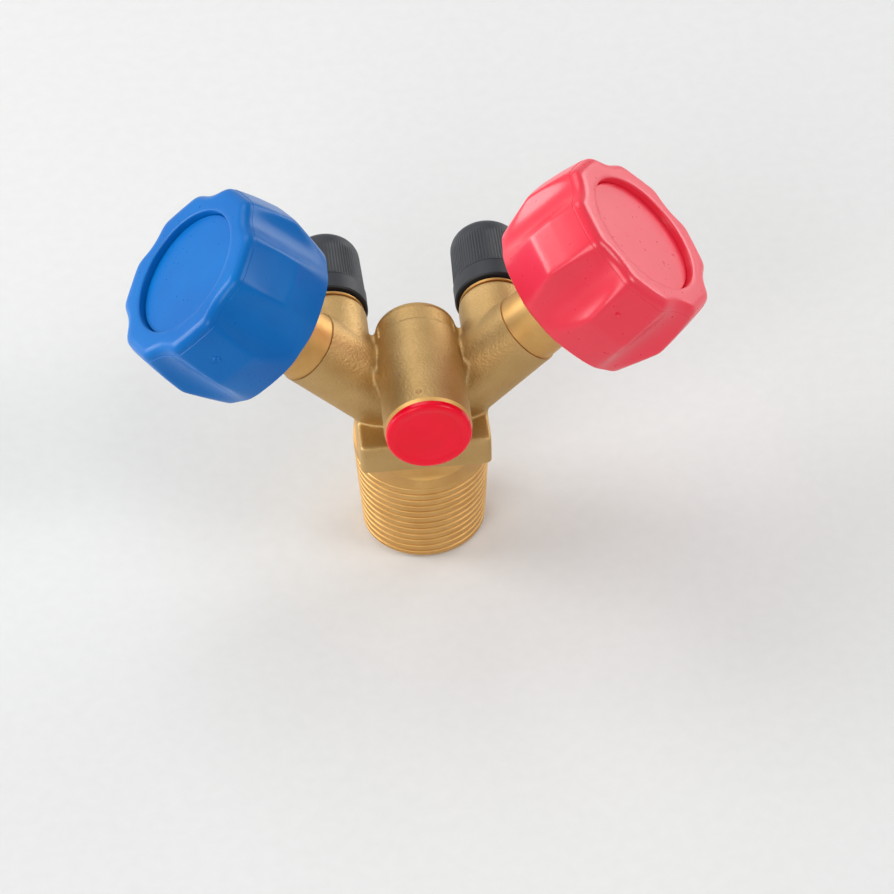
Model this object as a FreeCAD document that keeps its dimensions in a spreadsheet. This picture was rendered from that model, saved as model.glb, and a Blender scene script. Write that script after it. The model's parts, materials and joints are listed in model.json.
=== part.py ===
import FreeCAD, Part
import os
import re
import Sketcher

# Two-port cylinder valve, in millimetres.
# The origin is the centre of the threaded stem's end face. +Z runs up the stem,
# -Y is the side of the relief valve's cap, -X is the vapour arm and +X the liquid arm.
# Pieces of an arm are drawn with Z along that arm, pieces of an outlet with Z along it,
# and pieces of the relief valve with Z from the closed end of its barrel to its mouth.

SIZES = {
    # Stem with its taper thread, the plain band above it, and the collar that widens to the block
    "thread_length": 22.6,
    "thread_large_radius": 14.4,
    "thread_taper": 0.06,
    "stem_chamfer": 1.0,
    "band_length": 2.3,
    "collar_length": 3.1,
    "collar_radius": 15.9,
    "collar_overlap": 1.0,
    # Square wrench block
    "block_width": 27.6,
    "block_height": 7.0,
    "block_corner": 1.6,
    "block_edge": 0.5,
    # Arms
    "arm_cross_height": 29.8,
    "arm_lean": 45.0,
    "arm_radius": 7.8,
    "arm_forged_length": 32.3,
    "arm_turned_radius": 7.5,
    "arm_length": 42.0,
    "arm_chamfer": 0.5,
    "turned_step": 0.1,
    # Outlets, which stand square to the arms and point to the back
    "outlet_distance": 24.4,
    "stub_radius": 7.6,
    "stub_length": 13.6,
    "stub_round": 1.0,
    "outlet_neck_radius": 6.3,
    "outlet_neck_length": 0.5,
    "outlet_ring_radius": 7.2,
    "outlet_ring_length": 0.6,
    "outlet_thread_radius": 5.56,
    "outlet_thread_length": 11.0,
    "flare_tip_radius": 3.4,
    "flare_length": 2.2,
    "outlet_bore_radius": 2.4,
    # Relief valve's barrel, and the web that ties it to the arms
    "barrel_back": 8.3,
    "barrel_front": 21.9,
    "barrel_turned_length": 5.3,
    "barrel_turned_radius": 8.3,
    "barrel_rear_radius": 8.6,
    "barrel_front_radius": 9.2,
    "barrel_chamfer": 0.6,
    "pillar_radius": 8.4,
    "web_half_width": 11.0,
    "web_half_depth": 6.4,
    "web_height": 10.0,
    "web_rise": 1.6,
    "web_round": 2.0,
    # Passages
    "passage_offset": 6.0,
    "passage_radius": 2.5,
    "dip_socket_radius": 4.1,
    "dip_socket_depth": 12.0,
    "relief_passage_offset": 3.5,
    "relief_passage_radius": 1.6,
    # Valve seat, chamber and bonnet thread inside each arm
    "seat_distance": 17.0,
    "seat_orifice_radius": 2.2,
    "seat_lip_width": 1.0,
    "seat_lip_height": 1.0,
    "chamber_radius": 4.75,
    "bonnet_thread_radius": 6.0,
    "bonnet_thread_relief": 0.5,
    # Plug with its seat disc
    "seat_disc_radius": 3.4,
    "seat_disc_thickness": 1.6,
    "seat_disc_proud": 0.7,
    "plug_radius": 3.9,
    "plug_length": 5.1,
    "plug_chamfer": 0.4,
    "nose_radius": 1.6,
    "nose_length": 2.2,
    # Spindle
    "spindle_lift": 3.75,
    "spindle_neck_radius": 2.6,
    "spindle_neck_length": 5.3,
    "spindle_collar_length": 4.8,
    "spindle_radius": 3.5,
    "spindle_reach": 2.0,
    "square_width": 5.4,
    "square_length": 6.0,
    "spindle_chamfer": 0.4,
    "back_seat_gap": 0.25,
    "ring_groove_depth": 1.0,
    "ring_groove_width": 1.2,
    "ring_wire_radius": 0.48,
    "lower_ring_height": 5.9,
    "ring_spacing": 3.7,
    # Bonnet nut and its washer
    "bonnet_washer_radius": 7.3,
    "bonnet_washer_thickness": 0.5,
    "bonnet_hex_width": 14.0,
    "bonnet_hex_height": 4.0,
    "bonnet_hex_chamfer": 0.6,
    "bonnet_boss_radius": 5.0,
    "bonnet_boss_height": 1.1,
    # Handwheel
    "wheel_gap": 1.8,
    "wheel_base_radius": 18.9,
    "wheel_wide_radius": 22.0,
    "wheel_wide_height": 10.2,
    "wheel_shoulder_height": 5.0,
    "wheel_shoulder_radius": 21.5,
    "wheel_face_radius": 20.3,
    "wheel_edge_round": 2.2,
    "vapour_wheel_angle": -1.0,
    "liquid_wheel_angle": -5.0,
    "flat_base_radius": 18.5,
    "flat_wide_radius": 21.2,
    "flat_face_radius": 19.4,
    "scoop_radius": 9.6,
    "scoop_face_distance": 28.2,
    "scoop_lean": 1.1,
    "grip_count": 6,
    "wheel_wall": 2.3,
    "wheel_web_thickness": 2.4,
    "hub_radius": 7.6,
    "rib_thickness": 1.6,
    "rib_base_height": 7.0,
    "rib_root": 0.5,
    "screw_well_radius": 5.6,
    # Cover disc, screw and washer of the handwheel
    "cover_radius": 13.8,
    "cover_depth": 1.5,
    "cover_headroom": 4.6,
    "cover_thickness": 1.9,
    "cover_lip_radius": 5.5,
    "cover_lip_height": 1.6,
    "cover_lip_wall": 1.2,
    "cover_chamfer": 0.3,
    "washer_radius": 4.6,
    "washer_thickness": 0.8,
    "screw_head_radius": 3.6,
    "screw_head_height": 2.4,
    "screw_radius": 2.0,
    "screw_length": 8.0,
    "screw_tip_chamfer": 0.5,
    "screw_head_round": 0.8,
    "screw_hole_depth": 8.5,
    "screw_slot_width": 0.9,
    "screw_slot_depth": 1.1,
    # Dust cap of an outlet, with its gasket
    "cap_radius": 7.9,
    "cap_top_radius": 7.5,
    "cap_band_radius": 8.05,
    "cap_band_length": 4.6,
    "cap_length": 19.0,
    "cap_round": 2.2,
    "cap_dome": 0.3,
    "cap_rim_chamfer": 0.3,
    "cap_line_width": 0.25,
    "cap_line_depth": 0.25,
    "cap_rim_gap": 0.5,
    "cap_gasket_radius": 5.3,
    "cap_gasket_thickness": 1.4,
    # Relief valve
    "relief_seat_depth": 9.8,
    "relief_bore_radius": 5.7,
    "relief_orifice_radius": 2.2,
    "relief_orifice_back": 3.3,
    "relief_seal_radius": 4.2,
    "relief_seal_thickness": 1.5,
    "relief_seal_proud": 0.6,
    "poppet_radius": 5.2,
    "poppet_head_length": 4.0,
    "poppet_stem_radius": 1.6,
    "poppet_stem_length": 10.2,
    "poppet_spigot_radius": 2.6,
    "poppet_spigot_length": 1.0,
    "spring_radius": 3.7,
    "spring_wire_radius": 0.45,
    "spring_length": 6.1,
    "spring_turns": 4.0,
    "setting_screw_length": 5.0,
    "vent_radius": 0.9,
    "vent_offset": 3.7,
    "relief_mouth_radius": 6.4,
    "relief_mouth_depth": 4.0,
    "relief_cap_radius": 8.9,
    "relief_cap_thickness": 1.7,
    "relief_cap_wall": 1.0,
    "relief_cap_skirt": 3.6,
    "relief_cap_round": 0.7,
    "relief_cap_dome": 0.25,
    # Clearances
    "running_clearance": 0.05,
    "face_clearance": 0.05,
    "cover_clearance": 0.05,
    # How far a cutter reaches past the surface that it opens
    "overshoot": 1.0,
}

doc = FreeCAD.newDocument("cylinder_valve")
sizes = doc.addObject("Spreadsheet::Sheet", "sizes")
for row, (word, value) in enumerate(SIZES.items(), start=1):
    sizes.set(f"A{row}", word)
    sizes.set(f"B{row}", str(value))
    sizes.setAlias(f"B{row}", word)
doc.recompute()

UP = FreeCAD.Vector(0, 0, 1)
ALONG_X = FreeCAD.Vector(1, 0, 0)
ALONG_Y = FreeCAD.Vector(0, 1, 0)
NOWHERE = FreeCAD.Vector(0, 0, 0)
SIDES = {"vapour": -1, "liquid": 1}
pieces = []


def from_sheet(formula):
    """A formula in the sheet's words, with each word pointing at its cell."""
    return re.sub(r"[a-z_]+", lambda found: "sizes." + found[0] if found[0] in SIZES else found[0], formula)


def bind(thing, **formulas):
    """Drives properties of an object from the sheet; a double underscore stands for a dot."""
    for name, formula in formulas.items():
        thing.setExpression(name.replace("__", "."), from_sheet(formula))
    return thing


def piece(thing, label):
    """Names a finished sub-part and adds it to the ones that are written out."""
    thing.Label = label
    pieces.append(thing)
    return thing


# Derived lengths

THREAD_SMALL = "(thread_large_radius - thread_taper * thread_length)"
BAND_TOP = "(thread_length + band_length)"
BLOCK_BOTTOM = f"({BAND_TOP} + collar_length)"
BLOCK_TOP = f"({BLOCK_BOTTOM} + block_height)"
OUTLET_ACROSS = "(outlet_distance * sin(arm_lean))"
PORT_HEIGHT = "(arm_cross_height + outlet_distance * cos(arm_lean))"
RING_START = "(stub_length + outlet_neck_length)"
SPIGOT_START = f"({RING_START} + outlet_ring_length)"
FLARE_START = f"({SPIGOT_START} + outlet_thread_length)"
OUTLET_TIP = f"({FLARE_START} + flare_length)"
BARREL_LENGTH = "(barrel_back + barrel_front)"


def place(thing, at, axis=None, angle=None):
    """Sets a Placement whose base, and turn about one axis, follow the sheet."""
    # The angle to start with only keeps the axis, until the formula sets the angle.
    turn = FreeCAD.Rotation(axis, 45) if axis else FreeCAD.Rotation()
    thing.Placement = FreeCAD.Placement(NOWHERE, turn)
    for letter, formula in zip("xyz", at):
        thing.setExpression(f"Placement.Base.{letter}", from_sheet(formula))
    if angle:
        thing.setExpression("Placement.Rotation.Angle", from_sheet(angle))
    return thing


def on_arm(thing, side):
    """Local Z runs out along an arm, from where the arms' axes cross."""
    return place(thing, ("0", "0", "arm_cross_height"), FreeCAD.Vector(0, side, 0), "arm_lean")


def on_spindle(thing, word, side):
    """On an arm, turned about it by the angle at which its handwheel stands."""
    place(thing, ("0", "0", "0"), UP, f"{word}_wheel_angle")
    standing = doc.addObject("Part::Compound", thing.Name + "_standing")
    standing.Links = [thing]
    return on_arm(standing, side)


def on_outlet(thing, side):
    """Local Z runs to the back along an outlet, from the arm's axis."""
    across = OUTLET_ACROSS if side > 0 else "-" + OUTLET_ACROSS
    return place(thing, (across, "0", PORT_HEIGHT), FreeCAD.Vector(-1, 0, 0), "90")


def on_barrel(thing):
    """Local Z runs to the front along the relief barrel, from its closed end."""
    return place(thing, ("0", "barrel_back", PORT_HEIGHT), ALONG_X, "90")


# Building blocks

def outline(name, corners, owner=None):
    """Closed sketch in the XZ plane whose corners are (radius, height) formulas."""
    if owner:
        sketch = owner.newObject("Sketcher::SketchObject", name)
        plane = [flat for flat in owner.Origin.OriginFeatures if flat.Role == "XZ_Plane"][0]
        sketch.AttachmentSupport = [(plane, "")]
        sketch.MapMode = "FlatFace"
    else:
        sketch = doc.addObject("Sketcher::SketchObject", name)
        sketch.Placement = FreeCAD.Placement(NOWHERE, FreeCAD.Rotation(ALONG_X, 90))
    count = len(corners)
    # The corners start on a parabola, and the constraints then take them to their places.
    for number in range(count):
        start = FreeCAD.Vector(1 + number, 1 + number * number, 0)
        after = (number + 1) % count
        end = FreeCAD.Vector(1 + after, 1 + after * after, 0)
        sketch.addGeometry(Part.LineSegment(start, end), False)
    for number in range(count):
        after = (number + 1) % count
        sketch.addConstraint(Sketcher.Constraint("Coincident", number, 2, after, 1))
    for number, corner in enumerate(corners):
        for kind, formula, axis in zip(("DistanceX", "DistanceY"), corner, (-2, -1)):
            if formula == "0":
                sketch.addConstraint(Sketcher.Constraint("PointOnObject", number, 1, axis))
                continue
            index = sketch.addConstraint(Sketcher.Constraint(kind, -1, 1, number, 1, 1.0 + number))
            sketch.setExpression(f"Constraints[{index}]", from_sheet(formula))
    return sketch


def turned(name, corners):
    """Solid of revolution about local Z."""
    solid = doc.addObject("Part::Revolution", name)
    solid.Source = outline(name + "_outline", corners)
    solid.Axis = UP
    solid.Base = NOWHERE
    solid.Angle = 360
    solid.Solid = True
    return solid


def cylinder(name, radius, height):
    """Upright cylinder."""
    return bind(doc.addObject("Part::Cylinder", name), Radius=radius, Height=height)


def joined(name, solids):
    """All solids as one."""
    fuse = doc.addObject("Part::MultiFuse", name)
    fuse.Shapes = solids
    fuse.Refine = True
    return fuse


def cut(name, base, tool):
    """Base less tool."""
    result = doc.addObject("Part::Cut", name)
    result.Base = base
    result.Tool = tool
    result.Refine = True
    return result


def soft_edge(radius, end, size):
    """Corners that round an outer edge in three steps, from the side on to the end face."""
    near = f"(1 - cos(30)) * {size}"
    far = f"(1 - sin(30)) * {size}"
    return [
        (radius, f"{end} - {size}"),
        (f"{radius} - {near}", f"{end} - {far}"),
        (f"{radius} - {far}", f"{end} - {near}"),
        (f"{radius} - {size}", end),
    ]


def rounded(name, base, radius, wanted=lambda edge: True):
    """Fillets every edge of base, or those for which wanted(edge) is true."""
    doc.recompute()
    fillet = doc.addObject("Part::Fillet", name)
    fillet.Base = base
    numbers = [number for number, edge in enumerate(base.Shape.Edges, start=1) if wanted(edge)]
    fillet.Edges = [(number, radius, radius) for number in numbers]
    return fillet


# Valve body: one brass forging with its stem, wrench block, arms, outlets and relief barrel

def stem():
    """Taper-threaded stem with the plain band above its thread."""
    return turned("stem", [
        ("0", "0"),
        (f"{THREAD_SMALL} - stem_chamfer", "0"),
        (f"{THREAD_SMALL} + thread_taper * stem_chamfer", "stem_chamfer"),
        ("thread_large_radius", "thread_length"),
        ("thread_large_radius", BAND_TOP),
        ("0", BAND_TOP),
    ])


def square_bar(name, bottom, height):
    """Upright square bar of the wrench block's width."""
    bar = bind(doc.addObject("Part::Box", name), Length="block_width", Width="block_width", Height=height)
    return place(bar, ("-block_width / 2", "-block_width / 2", bottom))


def wrench_block():
    """Square block with rounded corners and softened edges."""
    bar = square_bar("block_bar", BLOCK_BOTTOM, "block_height")
    half = SIZES["block_height"] / 2
    upright = rounded("block_corners", bar, SIZES["block_corner"], lambda edge: edge.BoundBox.ZLength > half)
    return rounded("wrench_block", upright, SIZES["block_edge"], lambda edge: edge.BoundBox.ZLength < half)


def collar():
    """Cone that widens from the stem to the block, with the block's flats carried down over it."""
    cone = turned("collar_cone", [
        ("0", BAND_TOP),
        ("thread_large_radius", BAND_TOP),
        ("collar_radius", BLOCK_BOTTOM),
        ("collar_radius", f"{BLOCK_BOTTOM} + collar_overlap"),
        ("0", f"{BLOCK_BOTTOM} + collar_overlap"),
    ])
    common = doc.addObject("Part::MultiCommon", "collar")
    common.Shapes = [cone, square_bar("flats", "0", BLOCK_TOP)]
    return common


def arm(word, side):
    """Forged arm, turned down a little towards its end."""
    blank = turned(word + "_arm", [
        ("0", "0"),
        ("arm_radius", "0"),
        ("arm_radius", "arm_forged_length"),
        ("arm_turned_radius", "arm_forged_length + turned_step"),
        ("arm_turned_radius", "arm_length - arm_chamfer"),
        ("arm_turned_radius - arm_chamfer", "arm_length"),
        ("0", "arm_length"),
    ])
    return on_arm(blank, side)


def outlet(word, side):
    """Outlet stub with its ring, thread and flare seat."""
    blank = turned(word + "_outlet", [
        ("0", "0"),
        ("stub_radius", "0"),
        *soft_edge("stub_radius", "stub_length", "stub_round"),
        ("outlet_neck_radius", "stub_length"),
        ("outlet_neck_radius", RING_START),
        ("outlet_ring_radius", RING_START),
        ("outlet_ring_radius", SPIGOT_START),
        ("outlet_thread_radius", SPIGOT_START),
        ("outlet_thread_radius", FLARE_START),
        ("flare_tip_radius", OUTLET_TIP),
        ("0", OUTLET_TIP),
    ])
    return on_outlet(blank, side)


def barrel():
    """Relief valve's barrel: forged with a little draft, and turned near its closed end."""
    blank = turned("barrel", [
        ("0", "0"),
        ("barrel_turned_radius - barrel_chamfer", "0"),
        ("barrel_turned_radius", "barrel_chamfer"),
        ("barrel_turned_radius", "barrel_turned_length"),
        ("barrel_rear_radius", "barrel_turned_length + turned_step"),
        ("barrel_front_radius", f"{BARREL_LENGTH} - barrel_chamfer"),
        ("barrel_front_radius - barrel_chamfer", BARREL_LENGTH),
        ("0", BARREL_LENGTH),
    ])
    return on_barrel(blank)


def pillar():
    """Upright core between the wrench block and the barrel."""
    core = cylinder("pillar", "pillar_radius", f"{PORT_HEIGHT} - {BLOCK_BOTTOM}")
    return place(core, ("0", "0", BLOCK_BOTTOM))


def web():
    """Web between the barrel, the arms and the outlets."""
    plate = bind(
        doc.addObject("Part::Box", "web_plate"),
        Length="2 * web_half_width",
        Width="2 * web_half_depth",
        Height="web_height",
    )
    place(plate, ("-web_half_width", "-web_half_depth", f"{PORT_HEIGHT} + web_rise - web_height"))
    return rounded("web", plate, SIZES["web_round"])


def arm_bore(word, side):
    """Orifice, chamber round the raised seat, and the bonnet's thread."""
    floor = "(seat_distance - seat_lip_height)"
    lip = "seat_orifice_radius + seat_lip_width"
    tool = turned(word + "_arm_bore", [
        ("0", "passage_offset / sin(arm_lean) - passage_radius / 2"),
        ("seat_orifice_radius", "passage_offset / sin(arm_lean) - passage_radius / 2"),
        ("seat_orifice_radius", "seat_distance"),
        (lip, "seat_distance"),
        (lip, floor),
        ("chamber_radius", floor),
        ("chamber_radius", BONNET_THREAD_START),
        ("bonnet_thread_radius", BONNET_THREAD_START),
        ("bonnet_thread_radius", "arm_length + overshoot"),
        ("0", "arm_length + overshoot"),
    ])
    return on_arm(tool, side)


def outlet_bore(word, side):
    """Bore from an arm's chamber to the tip of its outlet."""
    tool = cylinder(word + "_outlet_bore", "outlet_bore_radius", f"{OUTLET_TIP} + overshoot")
    return on_outlet(tool, side)


def relief_bore():
    """Orifice, bore round the raised seat, and the mouth for the relief cap."""
    floor = "(relief_seat_depth - seat_lip_height)"
    lip = "relief_orifice_radius + seat_lip_width"
    mouth = f"({BARREL_LENGTH} - relief_mouth_depth)"
    tool = turned("relief_bore", [
        ("0", "relief_orifice_back"),
        ("relief_orifice_radius", "relief_orifice_back"),
        ("relief_orifice_radius", "relief_seat_depth"),
        (lip, "relief_seat_depth"),
        (lip, floor),
        ("relief_bore_radius", floor),
        ("relief_bore_radius", mouth),
        ("relief_mouth_radius", mouth),
        ("relief_mouth_radius", f"{BARREL_LENGTH} + overshoot"),
        ("0", f"{BARREL_LENGTH} + overshoot"),
    ])
    return on_barrel(tool)


def stem_passages():
    """Vapour and liquid passages, the dip tube's socket, and the relief valve's own passage."""
    top = "(arm_cross_height + passage_offset / tan(arm_lean))"
    vapour = place(cylinder("vapour_passage", "passage_radius", top), ("-passage_offset", "0", "0"))
    liquid = place(cylinder("liquid_passage", "passage_radius", top), ("passage_offset", "0", "0"))
    socket = cylinder("dip_socket", "dip_socket_radius", "dip_socket_depth")
    place(socket, ("passage_offset", "0", "0"))
    relief = cylinder("relief_passage", "relief_passage_radius", PORT_HEIGHT)
    place(relief, ("0", "relief_passage_offset", "0"))
    return [vapour, liquid, socket, relief]


def valve_body():
    """The forging and all that is bored into it."""
    solids = [stem(), collar(), wrench_block(), barrel(), pillar(), web()]
    solids += [arm(word, side) for word, side in SIDES.items()]
    solids += [outlet(word, side) for word, side in SIDES.items()]
    forging = joined("forging", solids)
    tools = stem_passages() + [relief_bore()]
    tools += [arm_bore(word, side) for word, side in SIDES.items()]
    tools += [outlet_bore(word, side) for word, side in SIDES.items()]
    piece(cut("bored_body", forging, joined("bores", tools)), "valve_body")


# Inside each arm: seat disc, plug, spindle with its rings, bonnet nut and washer

DISC_FRONT = "(seat_distance + face_clearance)"
PLUG_FRONT = f"({DISC_FRONT} + seat_disc_proud)"
PLUG_BACK = f"({PLUG_FRONT} + plug_length)"
SPINDLE_SHOULDER = f"({PLUG_BACK} + face_clearance)"
COLLAR_START = f"({SPINDLE_SHOULDER} + spindle_neck_length)"
COLLAR_END = f"({COLLAR_START} + spindle_collar_length)"
BONNET_BOTTOM = f"({COLLAR_END} + spindle_lift + back_seat_gap)"
BONNET_THREAD_START = f"({BONNET_BOTTOM} - bonnet_thread_relief)"
BONNET_SEAT = "(arm_length + bonnet_washer_thickness)"
BONNET_HEX_TOP = f"({BONNET_SEAT} + bonnet_hex_height)"
BONNET_TOP = f"({BONNET_HEX_TOP} + bonnet_boss_height)"
SQUARE_START = f"({BONNET_TOP} + spindle_reach)"
SPINDLE_END = f"({SQUARE_START} + square_length)"
LOWER_RING = f"({COLLAR_END} + lower_ring_height)"
UPPER_RING = f"({LOWER_RING} + ring_spacing)"


def seat_disc(word, side):
    """Soft disc that closes on the raised seat."""
    disc = turned(word + "_disc", [
        ("0", DISC_FRONT),
        ("seat_disc_radius", DISC_FRONT),
        ("seat_disc_radius", f"{DISC_FRONT} + seat_disc_thickness"),
        ("0", f"{DISC_FRONT} + seat_disc_thickness"),
    ])
    piece(on_arm(disc, side), word + "_seat_disc")


def plug(word, side):
    """Carrier of the seat disc, loose on the spindle's nose so that it doesn't turn on the seat."""
    disc_back = f"({DISC_FRONT} + seat_disc_thickness)"
    socket_floor = f"({PLUG_BACK} - nose_length - face_clearance)"
    carrier = turned(word + "_carrier", [
        ("0", disc_back),
        ("seat_disc_radius", disc_back),
        ("seat_disc_radius", PLUG_FRONT),
        ("plug_radius", PLUG_FRONT),
        ("plug_radius", f"{PLUG_BACK} - plug_chamfer"),
        ("plug_radius - plug_chamfer", PLUG_BACK),
        ("nose_radius + running_clearance", PLUG_BACK),
        ("nose_radius + running_clearance", socket_floor),
        ("0", socket_floor),
    ])
    piece(on_arm(carrier, side), word + "_plug")


def spindle(word, side):
    """Spindle: nose, neck, threaded collar, ringed stem, and a square for the handwheel."""
    groove_floor = "spindle_radius - ring_groove_depth"
    half = "ring_groove_width / 2"
    corners = [
        ("0", f"{SPINDLE_SHOULDER} - nose_length"),
        ("nose_radius", f"{SPINDLE_SHOULDER} - nose_length"),
        ("nose_radius", SPINDLE_SHOULDER),
        ("spindle_neck_radius", SPINDLE_SHOULDER),
        ("spindle_neck_radius", COLLAR_START),
        ("chamber_radius - running_clearance", COLLAR_START),
        ("chamber_radius - running_clearance", COLLAR_END),
        ("spindle_radius", COLLAR_END),
    ]
    for ring in (LOWER_RING, UPPER_RING):
        corners += [
            ("spindle_radius", f"{ring} - {half}"),
            (groove_floor, f"{ring} - {half}"),
            (groove_floor, f"{ring} + {half}"),
            ("spindle_radius", f"{ring} + {half}"),
        ]
    corners += [
        ("spindle_radius", f"{SPINDLE_END} - spindle_chamfer"),
        ("spindle_radius - spindle_chamfer", SPINDLE_END),
        ("screw_radius", SPINDLE_END),
        ("screw_radius", f"{SPINDLE_END} - screw_hole_depth"),
        ("0", f"{SPINDLE_END} - screw_hole_depth"),
    ]
    stock = turned(word + "_spindle_stock", corners)
    sleeve = cylinder(word + "_square_stock", "spindle_radius + overshoot", "square_length + overshoot")
    core = bind(
        doc.addObject("Part::Box", word + "_square_core"),
        Length="square_width",
        Width="square_width",
        Height="square_length + overshoot",
    )
    place(sleeve, ("0", "0", SQUARE_START))
    place(core, ("-square_width / 2", "-square_width / 2", SQUARE_START))
    shaft = cut(word + "_shaft", stock, cut(word + "_square_cutter", sleeve, core))
    piece(on_spindle(shaft, word, side), word + "_spindle")


def spindle_rings(word, side):
    """Two rubber rings in the spindle's grooves."""
    rings = []
    for name, height in (("lower", LOWER_RING), ("upper", UPPER_RING)):
        ring = bind(
            doc.addObject("Part::Torus", f"{word}_{name}_ring"),
            Radius1="spindle_radius - ring_groove_depth + ring_wire_radius",
            Radius2="ring_wire_radius",
        )
        rings.append(place(ring, ("0", "0", height)))
    pair = doc.addObject("Part::Compound", word + "_ring_pair")
    pair.Links = rings
    piece(on_arm(pair, side), word + "_spindle_rings")


def bonnet_washer(word, side):
    """Flat washer under the bonnet nut."""
    washer = turned(word + "_washer", [
        ("bonnet_thread_radius", "arm_length"),
        ("bonnet_washer_radius", "arm_length"),
        ("bonnet_washer_radius", BONNET_SEAT),
        ("bonnet_thread_radius", BONNET_SEAT),
    ])
    piece(on_arm(washer, side), word + "_bonnet_washer")


def bonnet(word, side):
    """Hexagon nut that screws into the arm and guides the spindle."""
    bore = "spindle_radius + running_clearance"
    shank = turned(word + "_bonnet_shank", [
        (bore, BONNET_BOTTOM),
        ("bonnet_thread_radius - running_clearance", BONNET_BOTTOM),
        ("bonnet_thread_radius - running_clearance", BONNET_SEAT),
        ("bonnet_hex_width / 2", BONNET_SEAT),
        ("bonnet_hex_width / 2", BONNET_HEX_TOP),
        ("bonnet_boss_radius", BONNET_HEX_TOP),
        ("bonnet_boss_radius", BONNET_TOP),
        (bore, BONNET_TOP),
    ])
    hexagon = bind(
        doc.addObject("Part::Prism", word + "_hexagon"),
        Circumradius="bonnet_hex_width / 2 / cos(30)",
        Height="bonnet_hex_height",
    )
    hexagon.Polygon = 6
    place(hexagon, ("0", "0", BONNET_SEAT))
    chamfer = turned(word + "_hexagon_round", [
        (bore, BONNET_SEAT),
        ("bonnet_hex_width / 2 / cos(30)", BONNET_SEAT),
        ("bonnet_hex_width / 2 / cos(30)", f"{BONNET_HEX_TOP} - bonnet_hex_chamfer"),
        ("bonnet_hex_width / 2", BONNET_HEX_TOP),
        (bore, BONNET_HEX_TOP),
    ])
    head = doc.addObject("Part::MultiCommon", word + "_bonnet_head")
    head.Shapes = [hexagon, chamfer]
    piece(on_arm(joined(word + "_bonnet_body", [shank, head]), side), word + "_bonnet_nut")


# Handwheel: a moulded shell with six flats, six finger scoops, a hub and ribs

WASHER_SEAT = SPINDLE_END
SCREW_HEAD = f"({WASHER_SEAT} + washer_thickness)"
SCREW_TOP = f"({SCREW_HEAD} + screw_head_height)"
COVER_SEAT = f"({SCREW_TOP} + cover_headroom)"
WEB_UNDERSIDE = f"({COVER_SEAT} - wheel_web_thickness)"
WHEEL_BASE = "(arm_length + wheel_gap)"
WHEEL_WIDE = f"({WHEEL_BASE} + wheel_wide_height)"
WHEEL_FACE = f"({COVER_SEAT} + cover_thickness + cover_depth)"
WHEEL_SHOULDER = f"({WHEEL_FACE} - wheel_shoulder_height)"
WHEEL_HEIGHT = f"({WHEEL_FACE} - {WHEEL_BASE})"


def origin_plane(body, role):
    """One of a body's own origin planes."""
    return [flat for flat in body.Origin.OriginFeatures if flat.Role == role][0]


def origin_axis(body, role):
    """One of a body's own origin axes."""
    return [line for line in body.Origin.OriginFeatures if line.Role == role][0]


def revolve_in(body, kind, name, corners):
    """Revolution or groove about the body's Z axis."""
    sketch = outline(name + "_outline", corners, body)
    feature = body.newObject(kind, name)
    feature.Profile = sketch
    feature.ReferenceAxis = (sketch, ["V_Axis"])
    feature.Angle = 360
    body.Tip = feature
    return feature


def around_axis(body, feature, name):
    """Repeats a feature evenly round the body's Z axis."""
    doc.recompute()
    pattern = body.newObject("PartDesign::PolarPattern", name)
    pattern.Originals = [feature]
    pattern.Axis = (origin_axis(body, "Z_Axis"), [""])
    pattern.Angle = 360
    bind(pattern, Occurrences="grip_count")
    body.Tip = pattern
    return pattern


def turned_by(sketch, angle):
    """Turns an upright sketch about the body's Z axis."""
    sketch.AttachmentOffset = FreeCAD.Placement(NOWHERE, FreeCAD.Rotation(ALONG_Y, angle))
    return sketch


def plate_in(body, kind, name, sketch, thickness):
    """Pad or pocket of an upright sketch, to both sides of its plane."""
    doc.recompute()
    feature = body.newObject(kind, name)
    feature.Profile = sketch
    feature.Midplane = True
    bind(feature, Length=thickness)
    body.Tip = feature
    return feature


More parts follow.
